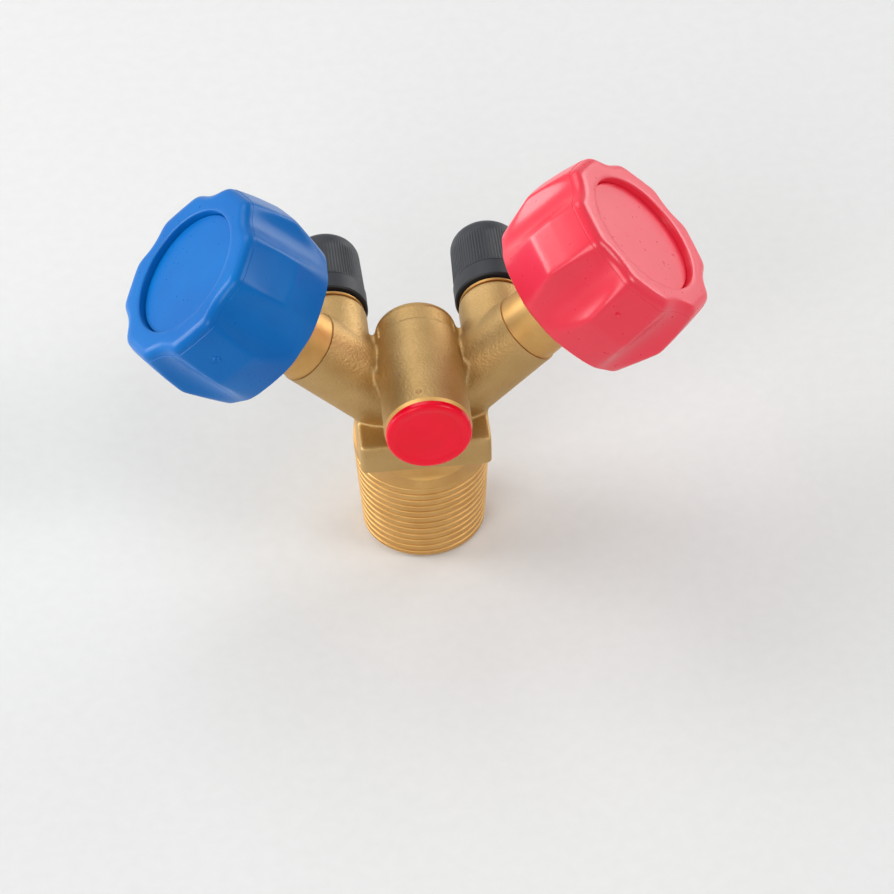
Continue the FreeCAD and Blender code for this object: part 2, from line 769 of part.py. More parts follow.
def handwheel(word, side):
    """Handwheel of moulded plastic, from its outer form to its ribs."""
    body = doc.addObject("PartDesign::Body", word + "_wheel_body")
    name = word + "_wheel"
    revolve_in(body, "PartDesign::Revolution", name + "_blank", [
        ("0", WHEEL_BASE),
        ("wheel_base_radius", WHEEL_BASE),
        ("wheel_wide_radius", WHEEL_WIDE),
        ("wheel_shoulder_radius", WHEEL_SHOULDER),
        *soft_edge("wheel_face_radius", WHEEL_FACE, "wheel_edge_round"),
        ("0", WHEEL_FACE),
    ])
    outside = "2 * wheel_wide_radius"
    half_pitch = 180 / SIZES["grip_count"]
    flat_outline = turned_by(outline(name + "_flat_outline", [
        ("flat_base_radius", f"{WHEEL_BASE} - overshoot"),
        ("flat_wide_radius", WHEEL_WIDE),
        ("flat_face_radius", f"{WHEEL_FACE} + overshoot"),
        (outside, f"{WHEEL_FACE} + overshoot"),
        (outside, f"{WHEEL_BASE} - overshoot"),
    ], body), half_pitch)
    flat = plate_in(body, "PartDesign::Pocket", name + "_flat", flat_outline, "2 * wheel_wide_radius")
    around_axis(body, flat, name + "_flats")
    doc.recompute()
    scoop = body.newObject("PartDesign::SubtractiveCylinder", name + "_scoop")
    scoop.AttachmentSupport = [(origin_plane(body, "XY_Plane"), "")]
    scoop.MapMode = "FlatFace"
    lean = FreeCAD.Rotation(FreeCAD.Vector(0, -1, 0), SIZES["scoop_lean"])
    scoop.AttachmentOffset = FreeCAD.Placement(NOWHERE, lean)
    bind(
        scoop,
        Radius="scoop_radius",
        Height=f"2 * {WHEEL_HEIGHT}",
        AttachmentOffset__Base__x=f"scoop_face_distance + 1.5 * {WHEEL_HEIGHT} * tan(scoop_lean)",
        AttachmentOffset__Base__z=f"{WHEEL_FACE} - 1.5 * {WHEEL_HEIGHT}",
        AttachmentOffset__Rotation__Angle="scoop_lean",
    )
    body.Tip = scoop
    around_axis(body, scoop, name + "_scoops")
    inner_top = (
        "(scoop_face_distance - scoop_radius / cos(scoop_lean)"
        f" + ({WHEEL_FACE} - {WEB_UNDERSIDE}) * tan(scoop_lean) - wheel_wall)"
    )
    inner_base = "(wheel_base_radius - wheel_wall)"
    revolve_in(body, "PartDesign::Groove", name + "_cavity", [
        ("0", f"{WHEEL_BASE} - overshoot"),
        (inner_base, f"{WHEEL_BASE} - overshoot"),
        (inner_base, WHEEL_BASE),
        (inner_top, WEB_UNDERSIDE),
        ("hub_radius", WEB_UNDERSIDE),
        ("hub_radius", SQUARE_START),
        ("0", SQUARE_START),
    ])
    well = "screw_well_radius"
    revolve_in(body, "PartDesign::Groove", name + "_cover_seat", [
        ("0", WASHER_SEAT),
        (well, WASHER_SEAT),
        (well, COVER_SEAT),
        ("cover_radius + cover_clearance", COVER_SEAT),
        ("cover_radius + cover_clearance", f"{WHEEL_FACE} + overshoot"),
        ("0", f"{WHEEL_FACE} + overshoot"),
    ])
    rib_base = f"({WHEEL_BASE} + rib_base_height)"
    rib_outline = turned_by(outline(name + "_rib_outline", [
        ("hub_radius - rib_root", rib_base),
        (f"{inner_top} + ({inner_base} - {inner_top}) / 2 + rib_root", rib_base),
        (f"{inner_top} + rib_root", f"{WEB_UNDERSIDE} + rib_root"),
        ("hub_radius - rib_root", f"{WEB_UNDERSIDE} + rib_root"),
    ], body), half_pitch)
    rib = plate_in(body, "PartDesign::Pad", name + "_rib", rib_outline, "rib_thickness")
    around_axis(body, rib, name + "_ribs")
    doc.recompute()
    hole = body.newObject("PartDesign::SubtractiveBox", name + "_square")
    hole.AttachmentSupport = [(origin_plane(body, "XY_Plane"), "")]
    hole.MapMode = "FlatFace"
    bind(
        hole,
        Length="square_width + 2 * running_clearance",
        Width="square_width + 2 * running_clearance",
        Height="square_length + overshoot",
        AttachmentOffset__Base__x="-square_width / 2 - running_clearance",
        AttachmentOffset__Base__y="-square_width / 2 - running_clearance",
        AttachmentOffset__Base__z=f"{SQUARE_START} - overshoot / 2",
    )
    body.Tip = hole
    piece(on_spindle(body, word, side), word + "_handwheel")


def wheel_fastening(word, side):
    """Washer and slotted screw that hold the handwheel on its spindle."""
    washer = turned(word + "_wheel_washer_form", [
        ("screw_radius + running_clearance", WASHER_SEAT),
        ("washer_radius", WASHER_SEAT),
        ("washer_radius", SCREW_HEAD),
        ("screw_radius + running_clearance", SCREW_HEAD),
    ])
    piece(on_arm(washer, side), word + "_wheel_washer")
    form = turned(word + "_wheel_screw_form", [
        ("0", f"{SCREW_HEAD} - screw_length"),
        ("screw_radius - screw_tip_chamfer", f"{SCREW_HEAD} - screw_length"),
        ("screw_radius - running_clearance", f"{SCREW_HEAD} - screw_length + screw_tip_chamfer"),
        ("screw_radius - running_clearance", SCREW_HEAD),
        ("screw_head_radius", SCREW_HEAD),
        *soft_edge("screw_head_radius", SCREW_TOP, "screw_head_round"),
        ("0", SCREW_TOP),
    ])
    slot = bind(
        doc.addObject("Part::Box", word + "_slot"),
        Length="2 * screw_head_radius + 2 * overshoot",
        Width="screw_slot_width",
        Height="screw_slot_depth + overshoot",
    )
    slot_floor = f"{SCREW_TOP} - screw_slot_depth"
    place(slot, ("-screw_head_radius - overshoot", "-screw_slot_width / 2", slot_floor))
    piece(on_spindle(cut(word + "_slotted_screw", form, slot), word, side), word + "_wheel_screw")


def wheel_cover(word, side):
    """Snap-in disc over the screw, set a little below the wheel's face."""
    lip = "cover_lip_radius"
    disc = turned(word + "_cover_form", [
        (lip + " - cover_lip_wall", f"{COVER_SEAT} - cover_lip_height"),
        (lip, f"{COVER_SEAT} - cover_lip_height"),
        (lip, COVER_SEAT),
        ("cover_radius", COVER_SEAT),
        ("cover_radius", f"{COVER_SEAT} + cover_thickness - cover_chamfer"),
        ("cover_radius - cover_chamfer", f"{COVER_SEAT} + cover_thickness"),
        ("0", f"{COVER_SEAT} + cover_thickness"),
        ("0", COVER_SEAT),
        (lip + " - cover_lip_wall", COVER_SEAT),
    ])
    piece(on_arm(disc, side), word + "_wheel_cover")


# Dust cap on each outlet

CAP_RIM = f"({SPIGOT_START} + cap_rim_gap)"
CAP_GASKET = f"({OUTLET_TIP} + face_clearance)"
CAP_FLOOR = f"({CAP_GASKET} + cap_gasket_thickness)"
CAP_TOP = f"({CAP_RIM} + cap_length)"


def outlet_cap(word, side):
    """Plastic dust cap: a plain band at the rim, a tapered grip above it and a domed end."""
    band_top = f"({CAP_RIM} + cap_band_length)"
    bore = "outlet_thread_radius + running_clearance"
    form = turned(word + "_cap_form", [
        (bore, CAP_RIM),
        ("cap_band_radius - cap_rim_chamfer", CAP_RIM),
        ("cap_band_radius", f"{CAP_RIM} + cap_rim_chamfer"),
        ("cap_band_radius", f"{band_top} - cap_line_width"),
        ("cap_radius - cap_line_depth", f"{band_top} - cap_line_width"),
        ("cap_radius - cap_line_depth", band_top),
        ("cap_radius", band_top),
        *soft_edge("cap_top_radius", CAP_TOP, "cap_round"),
        ("0", f"{CAP_TOP} + cap_dome"),
        ("0", CAP_FLOOR),
        (bore, CAP_FLOOR),
    ])
    piece(on_outlet(form, side), word + "_outlet_cap")


def cap_gasket(word, side):
    """Soft disc in the end of the dust cap."""
    disc = turned(word + "_gasket_form", [
        ("0", CAP_GASKET),
        ("cap_gasket_radius", CAP_GASKET),
        ("cap_gasket_radius", CAP_FLOOR),
        ("0", CAP_FLOOR),
    ])
    piece(on_outlet(disc, side), word + "_cap_gasket")


# Relief valve in the barrel

SEAL_FRONT = "(relief_seat_depth + face_clearance)"
POPPET_BACK = f"({SEAL_FRONT} + relief_seal_proud)"
POPPET_HEAD = f"({POPPET_BACK} + poppet_head_length)"
SPRING_START = f"({POPPET_HEAD} + face_clearance)"
SETTING_SCREW_START = f"({SPRING_START} + spring_length + face_clearance)"
SETTING_SCREW_END = f"({SETTING_SCREW_START} + setting_screw_length)"


def relief_seal():
    """Soft disc that closes on the relief valve's seat."""
    disc = turned("relief_seal_form", [
        ("0", SEAL_FRONT),
        ("relief_seal_radius", SEAL_FRONT),
        ("relief_seal_radius", f"{SEAL_FRONT} + relief_seal_thickness"),
        ("0", f"{SEAL_FRONT} + relief_seal_thickness"),
    ])
    piece(on_barrel(disc), "relief_seal")


def relief_poppet():
    """Poppet: cup for the seal, spigot that centres the spring, and guide stem."""
    seal_back = f"({SEAL_FRONT} + relief_seal_thickness)"
    form = turned("relief_poppet_form", [
        ("0", seal_back),
        ("relief_seal_radius", seal_back),
        ("relief_seal_radius", POPPET_BACK),
        ("poppet_radius", POPPET_BACK),
        ("poppet_radius", POPPET_HEAD),
        ("poppet_spigot_radius", POPPET_HEAD),
        ("poppet_spigot_radius", f"{POPPET_HEAD} + poppet_spigot_length"),
        ("poppet_stem_radius", f"{POPPET_HEAD} + poppet_spigot_length"),
        ("poppet_stem_radius", f"{POPPET_HEAD} + poppet_stem_length"),
        ("0", f"{POPPET_HEAD} + poppet_stem_length"),
    ])
    piece(on_barrel(form), "relief_poppet")


def relief_spring():
    """Steel compression spring, a round wire swept along a helix."""
    wire = "spring_wire_radius"
    helix = bind(
        doc.addObject("Part::Helix", "spring_helix"),
        Radius="spring_radius",
        Pitch=f"(spring_length - 2 * {wire}) / spring_turns",
        Height=f"spring_length - 2 * {wire}",
    )
    ring = bind(doc.addObject("Part::Circle", "spring_wire"), Radius=wire)
    place(ring, ("spring_radius", "0", "0"), ALONG_X, "90")
    sweep = doc.addObject("Part::Sweep", "spring_sweep")
    sweep.Sections = [ring]
    sweep.Spine = (helix, ["Edge1"])
    sweep.Solid = True
    sweep.Frenet = True
    lifted = doc.addObject("Part::Compound", "spring_in_barrel")
    lifted.Links = [place(sweep, ("0", "0", f"{SPRING_START} + {wire}"))]
    piece(on_barrel(lifted), "relief_spring")


def setting_screw():
    """Threaded plug that loads the spring, guides the poppet and lets gas out."""
    form = turned("setting_screw_form", [
        ("poppet_stem_radius + running_clearance", SETTING_SCREW_START),
        ("relief_bore_radius - running_clearance", SETTING_SCREW_START),
        ("relief_bore_radius - running_clearance", SETTING_SCREW_END),
        ("poppet_stem_radius + running_clearance", SETTING_SCREW_END),
    ])
    vents = []
    for number, (x, y) in enumerate([("1", "0"), ("0", "1"), ("-1", "0"), ("0", "-1")], start=1):
        vent = cylinder(f"vent_{number}", "vent_radius", "setting_screw_length + 2 * overshoot")
        at = (f"{x} * vent_offset", f"{y} * vent_offset", f"{SETTING_SCREW_START} - overshoot")
        vents.append(place(vent, at))
    piece(on_barrel(cut("vented_setting_screw", form, joined("vents", vents))), "relief_setting_screw")


def relief_cap():
    """Red plastic cap pushed into the barrel's mouth."""
    skirt = "relief_mouth_radius - running_clearance"
    seat = f"({BARREL_LENGTH} + face_clearance)"
    face = f"({seat} + relief_cap_thickness)"
    form = turned("relief_cap_form", [
        (f"{skirt} - relief_cap_wall", f"{seat} - relief_cap_skirt"),
        (skirt, f"{seat} - relief_cap_skirt"),
        (skirt, seat),
        ("relief_cap_radius", seat),
        *soft_edge("relief_cap_radius", face, "relief_cap_round"),
        ("0", f"{face} + relief_cap_dome"),
        ("0", seat),
        (f"{skirt} - relief_cap_wall", seat),
    ])
    piece(on_barrel(form), "relief_cap")


# Make every piece, test it and write it out

valve_body()
for word, side in SIDES.items():
    for make in (seat_disc, plug, spindle, spindle_rings, bonnet_washer, bonnet):
        make(word, side)
    for make in (handwheel, wheel_fastening, wheel_cover, outlet_cap, cap_gasket):
        make(word, side)
relief_seal()
relief_poppet()
relief_spring()
setting_screw()
relief_cap()
doc.recompute()

faults = [thing.Name for thing in doc.Objects if "Invalid" in thing.State or "Error" in thing.State]
faults += [thing.Label for thing in pieces if thing.Shape.isNull() or not thing.Shape.isValid()]
if faults:
    raise RuntimeError("these objects failed: " + ", ".join(faults))

os.makedirs("parts", exist_ok=True)
for thing in pieces:
    thing.Shape.exportStep(f"parts/{thing.Label}.step")
    box = thing.Shape.BoundBox
    print(f"{thing.Label:24} solids {len(thing.Shape.Solids)} volume {thing.Shape.Volume:9.1f}", box)
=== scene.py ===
import json
import math

import bpy
import bmesh
from mathutils import Matrix, Vector


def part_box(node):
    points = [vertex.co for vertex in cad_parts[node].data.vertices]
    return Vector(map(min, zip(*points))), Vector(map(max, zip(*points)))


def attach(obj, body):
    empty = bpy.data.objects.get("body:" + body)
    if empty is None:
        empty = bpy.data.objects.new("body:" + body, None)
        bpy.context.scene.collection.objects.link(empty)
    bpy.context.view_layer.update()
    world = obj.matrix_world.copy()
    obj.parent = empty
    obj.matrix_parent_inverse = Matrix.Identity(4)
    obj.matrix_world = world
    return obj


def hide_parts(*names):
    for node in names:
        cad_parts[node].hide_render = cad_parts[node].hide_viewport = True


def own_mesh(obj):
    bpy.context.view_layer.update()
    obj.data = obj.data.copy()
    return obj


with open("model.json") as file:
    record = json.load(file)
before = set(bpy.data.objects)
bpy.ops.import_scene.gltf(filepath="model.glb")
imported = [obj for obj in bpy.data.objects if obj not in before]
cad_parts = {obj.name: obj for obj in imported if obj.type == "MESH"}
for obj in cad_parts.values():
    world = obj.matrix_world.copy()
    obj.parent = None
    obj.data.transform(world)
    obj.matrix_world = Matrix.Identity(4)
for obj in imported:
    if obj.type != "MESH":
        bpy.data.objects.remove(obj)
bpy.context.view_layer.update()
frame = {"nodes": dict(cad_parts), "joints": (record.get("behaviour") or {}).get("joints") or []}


# Valve body
# One hot forging in brass: wrench block, two arms, two outlet stubs and the relief barrel, which
# run into each other with forging fillets. It is shot-blasted all over before it is turned.

# The valve's sizes are in millimetres, and heights run along the axis of the stem, arm, outlet or
# barrel that they belong to.
MM = 0.001
SIDES = {"vapour": -1, "liquid": 1}
JOINTS = {joint["name"]: joint for joint in frame["joints"]}
CROSSING = JOINTS["liquid_wheel_turn"]["pos_m"][2] / MM
PORT_ACROSS, _, PORT_HEIGHT = [length / MM for length in JOINTS["liquid_cap_turn"]["pos_m"]]
BLOCK_WIDTH, BLOCK_BOTTOM, BLOCK_TOP, BLOCK_CORNER = 27.6, 28.0, 35.0, 0.6
ARM_RADIUS, ARM_FORGED_END = 7.8, 32.3
STUB_RADIUS, STUB_END, STUB_CHAMFER = 7.62, 13.6, 0.5
BARREL_BACK, BARREL_FRONT, BARREL_CHAMFER = 8.3, 21.9, 0.6
BARREL_REAR_RADIUS, BARREL_RIM_RADIUS, BARREL_REAR_ROUND = 8.6, 9.2, 0.6
BARREL_TURNED_RADIUS, BARREL_TURNED_START, BARREL_TURNED_STOP = 8.3, 3.0, BARREL_BACK - 1.2
BARREL_TURNED_ABOVE = 3.2
PILLAR_RADIUS = 8.4
WEB_HALF_WIDTH, WEB_HALF_DEPTH, WEB_CORNER = 11.0, 6.4, 1.5
WEB_BELOW, WEB_ABOVE = 8.4, 1.6
SAW_SPARE = 3.0
SKIN_GRAIN, SKIN_SMOOTHINGS = 0.34, 22
PUNCH_MARK = (-1.55, -19.2)
PUNCH_DEPTH, PUNCH_RADIUS = 0.4, 0.5
PUNCH_LIP_HEIGHT, PUNCH_LIP_RADIUS, PUNCH_LIP_WIDTH = 0.1, 0.9, 0.3


def hex_colour(code):
    """An sRGB hex code as the linear colour that a shader takes."""
    shares = [int(code[place:place + 2], 16) / 255 for place in (1, 3, 5)]
    return [s / 12.92 if s <= 0.04045 else ((s + 0.055) / 1.055) ** 2.4 for s in shares] + [1.0]


def node(material, kind, inputs=None, **settings):
    """Adds one shader node, with its settings, and with its inputs as values or links."""
    made = material.node_tree.nodes.new(kind)
    for setting, value in settings.items():
        setattr(made, setting, value)
    for socket, value in (inputs or {}).items():
        if isinstance(value, bpy.types.NodeSocket):
            material.node_tree.links.new(value, made.inputs[socket])
        else:
            made.inputs[socket].default_value = value
    return made


def blank_material(name):
    """A material without nodes but for the place in the object, in metres."""
    material = bpy.data.materials.new(name)
    material.use_nodes = True
    material.node_tree.nodes.clear()
    return material, node(material, "ShaderNodeTexCoord").outputs["Object"]


def shot_blasted_brass():
    """Dull khaki gold without a sharp reflection, with the dents of the shot as a fine sparkle."""
    material, place = blank_material("shot_blasted_forged_brass")
    blotches = node(material, "ShaderNodeTexNoise", {
        "Vector": place, "Scale": 1 / (8 * MM), "Detail": 3,
    })
    # The shot's dents are about 0.2 mm wide. They are drawn wider, as they would not show.
    dents = node(material, "ShaderNodeTexNoise", {
        "Vector": place, "Scale": 1 / (0.55 * MM), "Detail": 2,
    })
    tone = node(material, "ShaderNodeMix", {
        "Factor": blotches.outputs["Fac"], "A": hex_colour("#B4925A"), "B": hex_colour("#D0AF7B"),
    }, data_type="RGBA")
    roughness = node(material, "ShaderNodeMapRange", {
        "Value": dents.outputs["Fac"], "To Min": 0.46, "To Max": 0.64,
    })
    bump = node(material, "ShaderNodeBump", {
        "Height": dents.outputs["Fac"], "Strength": 0.9, "Distance": 0.14 * MM,
    })
    shader = node(material, "ShaderNodeBsdfPrincipled", {
        "Base Color": tone.outputs["Result"],
        "Metallic": 1.0,
        "Roughness": roughness.outputs["Result"],
        "Normal": bump.outputs["Normal"],
    })
    node(material, "ShaderNodeOutputMaterial", {"Surface": shader.outputs["BSDF"]})
    return material


def along(start, axis):
    """Frame in millimetres whose Z runs along axis from start, with Y kept level to the back."""
    z = Vector(axis).normalized()
    y = Vector((0, 1, 0)) if abs(z.y) < 0.5 else Vector((0, 0, -1))
    turn = Matrix((y.cross(z), y, z)).transposed().to_4x4()
    return Matrix.Translation(start) @ turn


def arm_frame(word):
    """Frame of an arm, from where the two arms' axes cross."""
    return along((0, 0, CROSSING), JOINTS[word + "_wheel_turn"]["axis"])


def outlet_frame(side):
    """Frame of an outlet, from its arm's axis to the back."""
    return along((side * PORT_ACROSS, 0, PORT_HEIGHT), (0, 1, 0))


def rings(mesh, rows, steps, closed=False):
    """Skins rows of (radius, height) round Z; a radius is a number or a function of the angle."""
    angles = [math.tau * step / steps for step in range(steps)]
    loops = []
    for radius, height in rows:
        if radius == 0:
            loops.append([mesh.verts.new((0, 0, height))])
            continue
        reach = radius if callable(radius) else lambda angle, fixed=radius: fixed
        loops.append([mesh.verts.new((
            reach(angle) * math.cos(angle), reach(angle) * math.sin(angle), height,
        )) for angle in angles])
    pairs = list(zip(loops, loops[1:]))
    if closed:
        pairs.append((loops[-1], loops[0]))
    for lower, upper in pairs:
        for step in range(steps):
            after = (step + 1) % steps
            corners = [lower[step % len(lower)], lower[after % len(lower)]]
            corners += [upper[after % len(upper)], upper[step % len(upper)]]
            corners = list(dict.fromkeys(corners))
            if len(corners) > 2:
                mesh.faces.new(corners)
    return loops


def join(whole, part, placing):
    """Moves a part's mesh into the whole mesh."""
    bmesh.ops.recalc_face_normals(part, faces=part.faces)
    data = bpy.data.meshes.new("part")
    part.to_mesh(data)
    part.free()
    data.transform(placing)
    whole.from_mesh(data)
    bpy.data.meshes.remove(data)


def finished(name, mesh, placing, material, body, sharp=32):
    """Makes the piece from its mesh, in metres, and hangs it on its body."""
    bmesh.ops.recalc_face_normals(mesh, faces=mesh.faces)
    data = bpy.data.meshes.new(name)
    mesh.to_mesh(data)
    mesh.free()
    data.transform(Matrix.Scale(MM, 4) @ placing)
    data.shade_smooth()
    data.set_sharp_from_angle(angle=math.radians(sharp))
    data.materials.append(material)
    piece = bpy.data.objects.new(name, data)
    bpy.context.scene.collection.objects.link(piece)
    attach(piece, body)
    return piece


def round_blank(whole, placing, rows):
    """Adds a closed round form, in its place, to the forging's blank."""
    part = bmesh.new()
    rings(part, rows, 96)
    join(whole, part, placing)


def block_blank(whole, low, high, corner):
    """Adds a block with rounded upright edges to the forging's blank."""
    part = bmesh.new()
    bmesh.ops.create_cube(part, size=1)
    size = Vector(high) - Vector(low)
    bmesh.ops.transform(part, matrix=Matrix.Diagonal(size).to_4x4(), verts=part.verts)
    upright = [
        edge for edge in part.edges if abs((edge.verts[0].co - edge.verts[1].co).z) > size.z / 2
    ]
    bmesh.ops.bevel(part, geom=upright, offset=corner, segments=5, affect="EDGES")
    join(whole, part, Matrix.Translation((Vector(low) + Vector(high)) / 2))


def forging_blank():
    """All forged forms as closed solids that run into each other, sawn later where they end flat."""
    whole = bmesh.new()
    half = BLOCK_WIDTH / 2
    block_low, block_high = (-half, -half, BLOCK_BOTTOM - SAW_SPARE), (half, half, BLOCK_TOP)
    block_blank(whole, block_low, block_high, BLOCK_CORNER)
    web_low = (-WEB_HALF_WIDTH, -WEB_HALF_DEPTH, PORT_HEIGHT - WEB_BELOW)
    web_high = (WEB_HALF_WIDTH, WEB_HALF_DEPTH, PORT_HEIGHT + WEB_ABOVE)
    block_blank(whole, web_low, web_high, WEB_CORNER)
    inside = BLOCK_BOTTOM + 1
    round_blank(whole, Matrix.Identity(4), [
        (0, inside), (PILLAR_RADIUS, inside), (PILLAR_RADIUS, PORT_HEIGHT), (0, PORT_HEIGHT),
    ])
    barrel_end = BARREL_BACK + BARREL_FRONT
    round_blank(whole, along((0, BARREL_BACK, PORT_HEIGHT), (0, -1, 0)), [
        (0, 0), (BARREL_REAR_RADIUS - BARREL_REAR_ROUND, 0), (BARREL_REAR_RADIUS, BARREL_REAR_ROUND),
        (BARREL_RIM_RADIUS, barrel_end), (BARREL_RIM_RADIUS, barrel_end + SAW_SPARE),
        (0, barrel_end + SAW_SPARE),
    ])
    for word, side in SIDES.items():
        arm_end = ARM_FORGED_END + SAW_SPARE
        round_blank(whole, arm_frame(word), [
            (0, 0), (ARM_RADIUS, 0), (ARM_RADIUS, arm_end), (0, arm_end),
        ])
        round_blank(whole, outlet_frame(side), [
            (0, 0), (STUB_RADIUS, 0), (STUB_RADIUS, STUB_END - STUB_CHAMFER),
            (STUB_RADIUS - STUB_CHAMFER, STUB_END), (0, STUB_END),
        ])
    return whole


def saw_off(skin, point, axis, reach=12):
    """Takes off what lies past a plane, near its point, and gives the edges of the cut."""
    near = [corner for corner in skin.verts if (corner.co - point).length < reach]
    # Dictionaries keep their order, so that each run numbers the cut skin in the same way.
    faces = dict.fromkeys(face for corner in near for face in corner.link_faces)
    edges = dict.fromkeys(edge for face in faces for edge in face.edges)
    corners = dict.fromkeys(corner for face in faces for corner in face.verts)
    cut = bmesh.ops.bisect_plane(
        skin, geom=[*faces, *edges, *corners], dist=0.001,
        plane_co=point, plane_no=axis, clear_outer=True,
    )
    return [part for part in cut["geom_cut"] if isinstance(part, bmesh.types.BMEdge)]


def mark_barrel(skin):
    """The lathe's step near the barrel's closed end, and the punched mark on its top."""
    for corner in skin.verts:
        place = corner.co
        across, height = place.x, place.z - PORT_HEIGHT
        radius = math.hypot(across, height)
        near_wall = height > BARREL_TURNED_ABOVE and abs(radius - BARREL_REAR_RADIUS) < 0.8
        if near_wall and BARREL_TURNED_START < place.y < BARREL_TURNED_STOP:
            place.x *= BARREL_TURNED_RADIUS / radius
            place.z = PORT_HEIGHT + height * BARREL_TURNED_RADIUS / radius
        off = math.hypot(across - PUNCH_MARK[0], place.y - PUNCH_MARK[1])
        if height > 6 and off < 2:
            lip = PUNCH_LIP_HEIGHT * math.exp(-((off - PUNCH_LIP_RADIUS) / PUNCH_LIP_WIDTH) ** 2)
            place.z += lip - PUNCH_DEPTH * math.exp(-((off / PUNCH_RADIUS) ** 2))


def forging_skin(material):
    """Melts the blanks into one skin with forging fillets, and saws its flat ends."""
    data = bpy.data.meshes.new("forging_blank")
    whole = forging_blank()
    whole.to_mesh(data)
    whole.free()
    blank = bpy.data.objects.new("forging_blank", data)
    bpy.context.scene.collection.objects.link(blank)
    melt = blank.modifiers.new("melt", "REMESH")
    melt.mode = "VOXEL"
    melt.voxel_size = SKIN_GRAIN
    fillets = blank.modifiers.new("fillets", "SMOOTH")
    fillets.factor = 0.5
    fillets.iterations = SKIN_SMOOTHINGS
    shape = blank.evaluated_get(bpy.context.evaluated_depsgraph_get())
    skin = bmesh.new()
    skin.from_mesh(bpy.data.meshes.new_from_object(shape))
    bpy.data.objects.remove(blank)
    mark_barrel(skin)
    for word in SIDES:
        placing = arm_frame(word)
        saw_off(skin, placing @ Vector((0, 0, ARM_FORGED_END)), placing.col[2].to_3d())
    saw_off(skin, Vector((0, BARREL_CHAMFER - BARREL_FRONT, PORT_HEIGHT)), Vector((0, -1, 0)))
    underside = saw_off(skin, Vector((0, 0, BLOCK_BOTTOM)), Vector((0, 0, -1)), BLOCK_WIDTH)
    bmesh.ops.triangle_fill(skin, edges=underside, use_beauty=True)
    piece = finished("valve_forging", skin, Matrix.Identity(4), material, "valve", 50)
    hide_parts("valve_body")


forging_skin(shot_blasted_brass())


# Turned places of the valve body
# The lathe cuts the stem with its taper thread, the arms' ends, the outlets with their flare
# threads, and the barrel's mouth. Cut brass is smoother than forged, with fine rings of the tool.

THREAD_PITCH, THREAD_DEPTH, THREAD_GROOVE = 25.4 / 14, 0.5, 0.21
THREAD_RADIUS, THREAD_TAPER, THREAD_END = 14.4, 0.06, 22.6
THREAD_ROWS_A_TURN = 36
STEM_CHAMFER = 1.0
BAND_TOP = 24.9
COLLAR_RADIUS, COLLAR_ROWS = 15.9, 24
COLLAR_FLAT = BLOCK_WIDTH / 2 - 0.02
FLAT_RUNOUT = 1.0
GAS_PASSAGE, TUBE_SOCKET, RELIEF_PASSAGE = (-6, 0), (6, 0), (0, 3.5)
PASSAGE_RADIUS, PASSAGE_DEPTH = 2.5, 30
SOCKET_RADIUS, SOCKET_DEPTH = 4.1, 12
RELIEF_PASSAGE_RADIUS, RELIEF_PASSAGE_DEPTH = 1.6, 40
ARM_TURNED_RADIUS, ARM_TURNED_CHAMFER, ARM_END = 7.5, 0.5, 42.0
BONNET_THREAD_RADIUS, BONNET_THREAD_BOTTOM = 6.0, 36.5
ARM_BORE_RADIUS, ARM_SEAT = 4.75, 17
OUTLET_NECK_RADIUS, OUTLET_NECK_START = 6.3, STUB_END - 1.4
OUTLET_RING_RADIUS, OUTLET_RING_START, OUTLET_RING_END = 7.2, 14.1, 14.7
FLARE_RADIUS, FLARE_PITCH, FLARE_DEPTH, FLARE_GROOVE = 5.56, 1.27, 0.68, 0.36
FLARE_START, FLARE_END, FLARE_ROOT, FLARE_ROWS = 14.75, 25.65, 5.0, 150
OUTLET_TIP, OUTLET_TIP_RADIUS, OUTLET_BORE_RADIUS = 27.9, 3.4, 2.4
RELIEF_MOUTH_RADIUS, RELIEF_MOUTH_DEPTH, RELIEF_BORE = 6.4, 4.0, 5.7
RELIEF_BORE_BOTTOM, RELIEF_SEAT_RADIUS, RELIEF_SEAT_TOP = 8.8, 3.2, 9.8
RELIEF_INLET_RADIUS, RELIEF_INLET_BOTTOM = 2.2, 3.3


def turned_brass(name, tip_over, lean):
    """Warm gold with a soft gleam, drawn out into rings round the axis that the lathe turned it on."""
    material, place = blank_material(name)
    tipped = node(material, "ShaderNodeVectorRotate", {
        "Vector": place, "Axis": (1, 0, 0), "Angle": tip_over,
    }, rotation_type="AXIS_ANGLE")
    upright = node(material, "ShaderNodeVectorRotate", {
        "Vector": tipped.outputs["Vector"], "Axis": (0, 1, 0), "Angle": lean,
    }, rotation_type="AXIS_ANGLE")
    squeezed = node(material, "ShaderNodeVectorMath", {
        0: upright.outputs["Vector"], 1: (0.05, 0.05, 1.0),
    }, operation="MULTIPLY")
    # The tool's feed is about 0.1 mm a turn. Its rings are drawn wider, as they would not show.
    feed = node(material, "ShaderNodeTexNoise", {
        "Vector": squeezed.outputs["Vector"], "Scale": 1 / (0.3 * MM), "Detail": 2,
    })
    stains = node(material, "ShaderNodeTexNoise", {"Vector": place, "Scale": 1 / (5 * MM), "Detail": 4})
    tone = node(material, "ShaderNodeMix", {
        "Factor": stains.outputs["Fac"], "A": hex_colour("#C29250"), "B": hex_colour("#DEB677"),
    }, data_type="RGBA")
    roughness = node(material, "ShaderNodeMapRange", {
        "Value": feed.outputs["Fac"], "To Min": 0.42, "To Max": 0.58,
    })
    bump = node(material, "ShaderNodeBump", {
        "Height": feed.outputs["Fac"], "Strength": 0.3, "Distance": 0.03 * MM,
    })
    shader = node(material, "ShaderNodeBsdfPrincipled", {
        "Base Color": tone.outputs["Result"],
        "Metallic": 1.0,
        "Roughness": roughness.outputs["Result"],
        "Normal": bump.outputs["Normal"],
    })
    node(material, "ShaderNodeOutputMaterial", {"Surface": shader.outputs["BSDF"]})
    return material


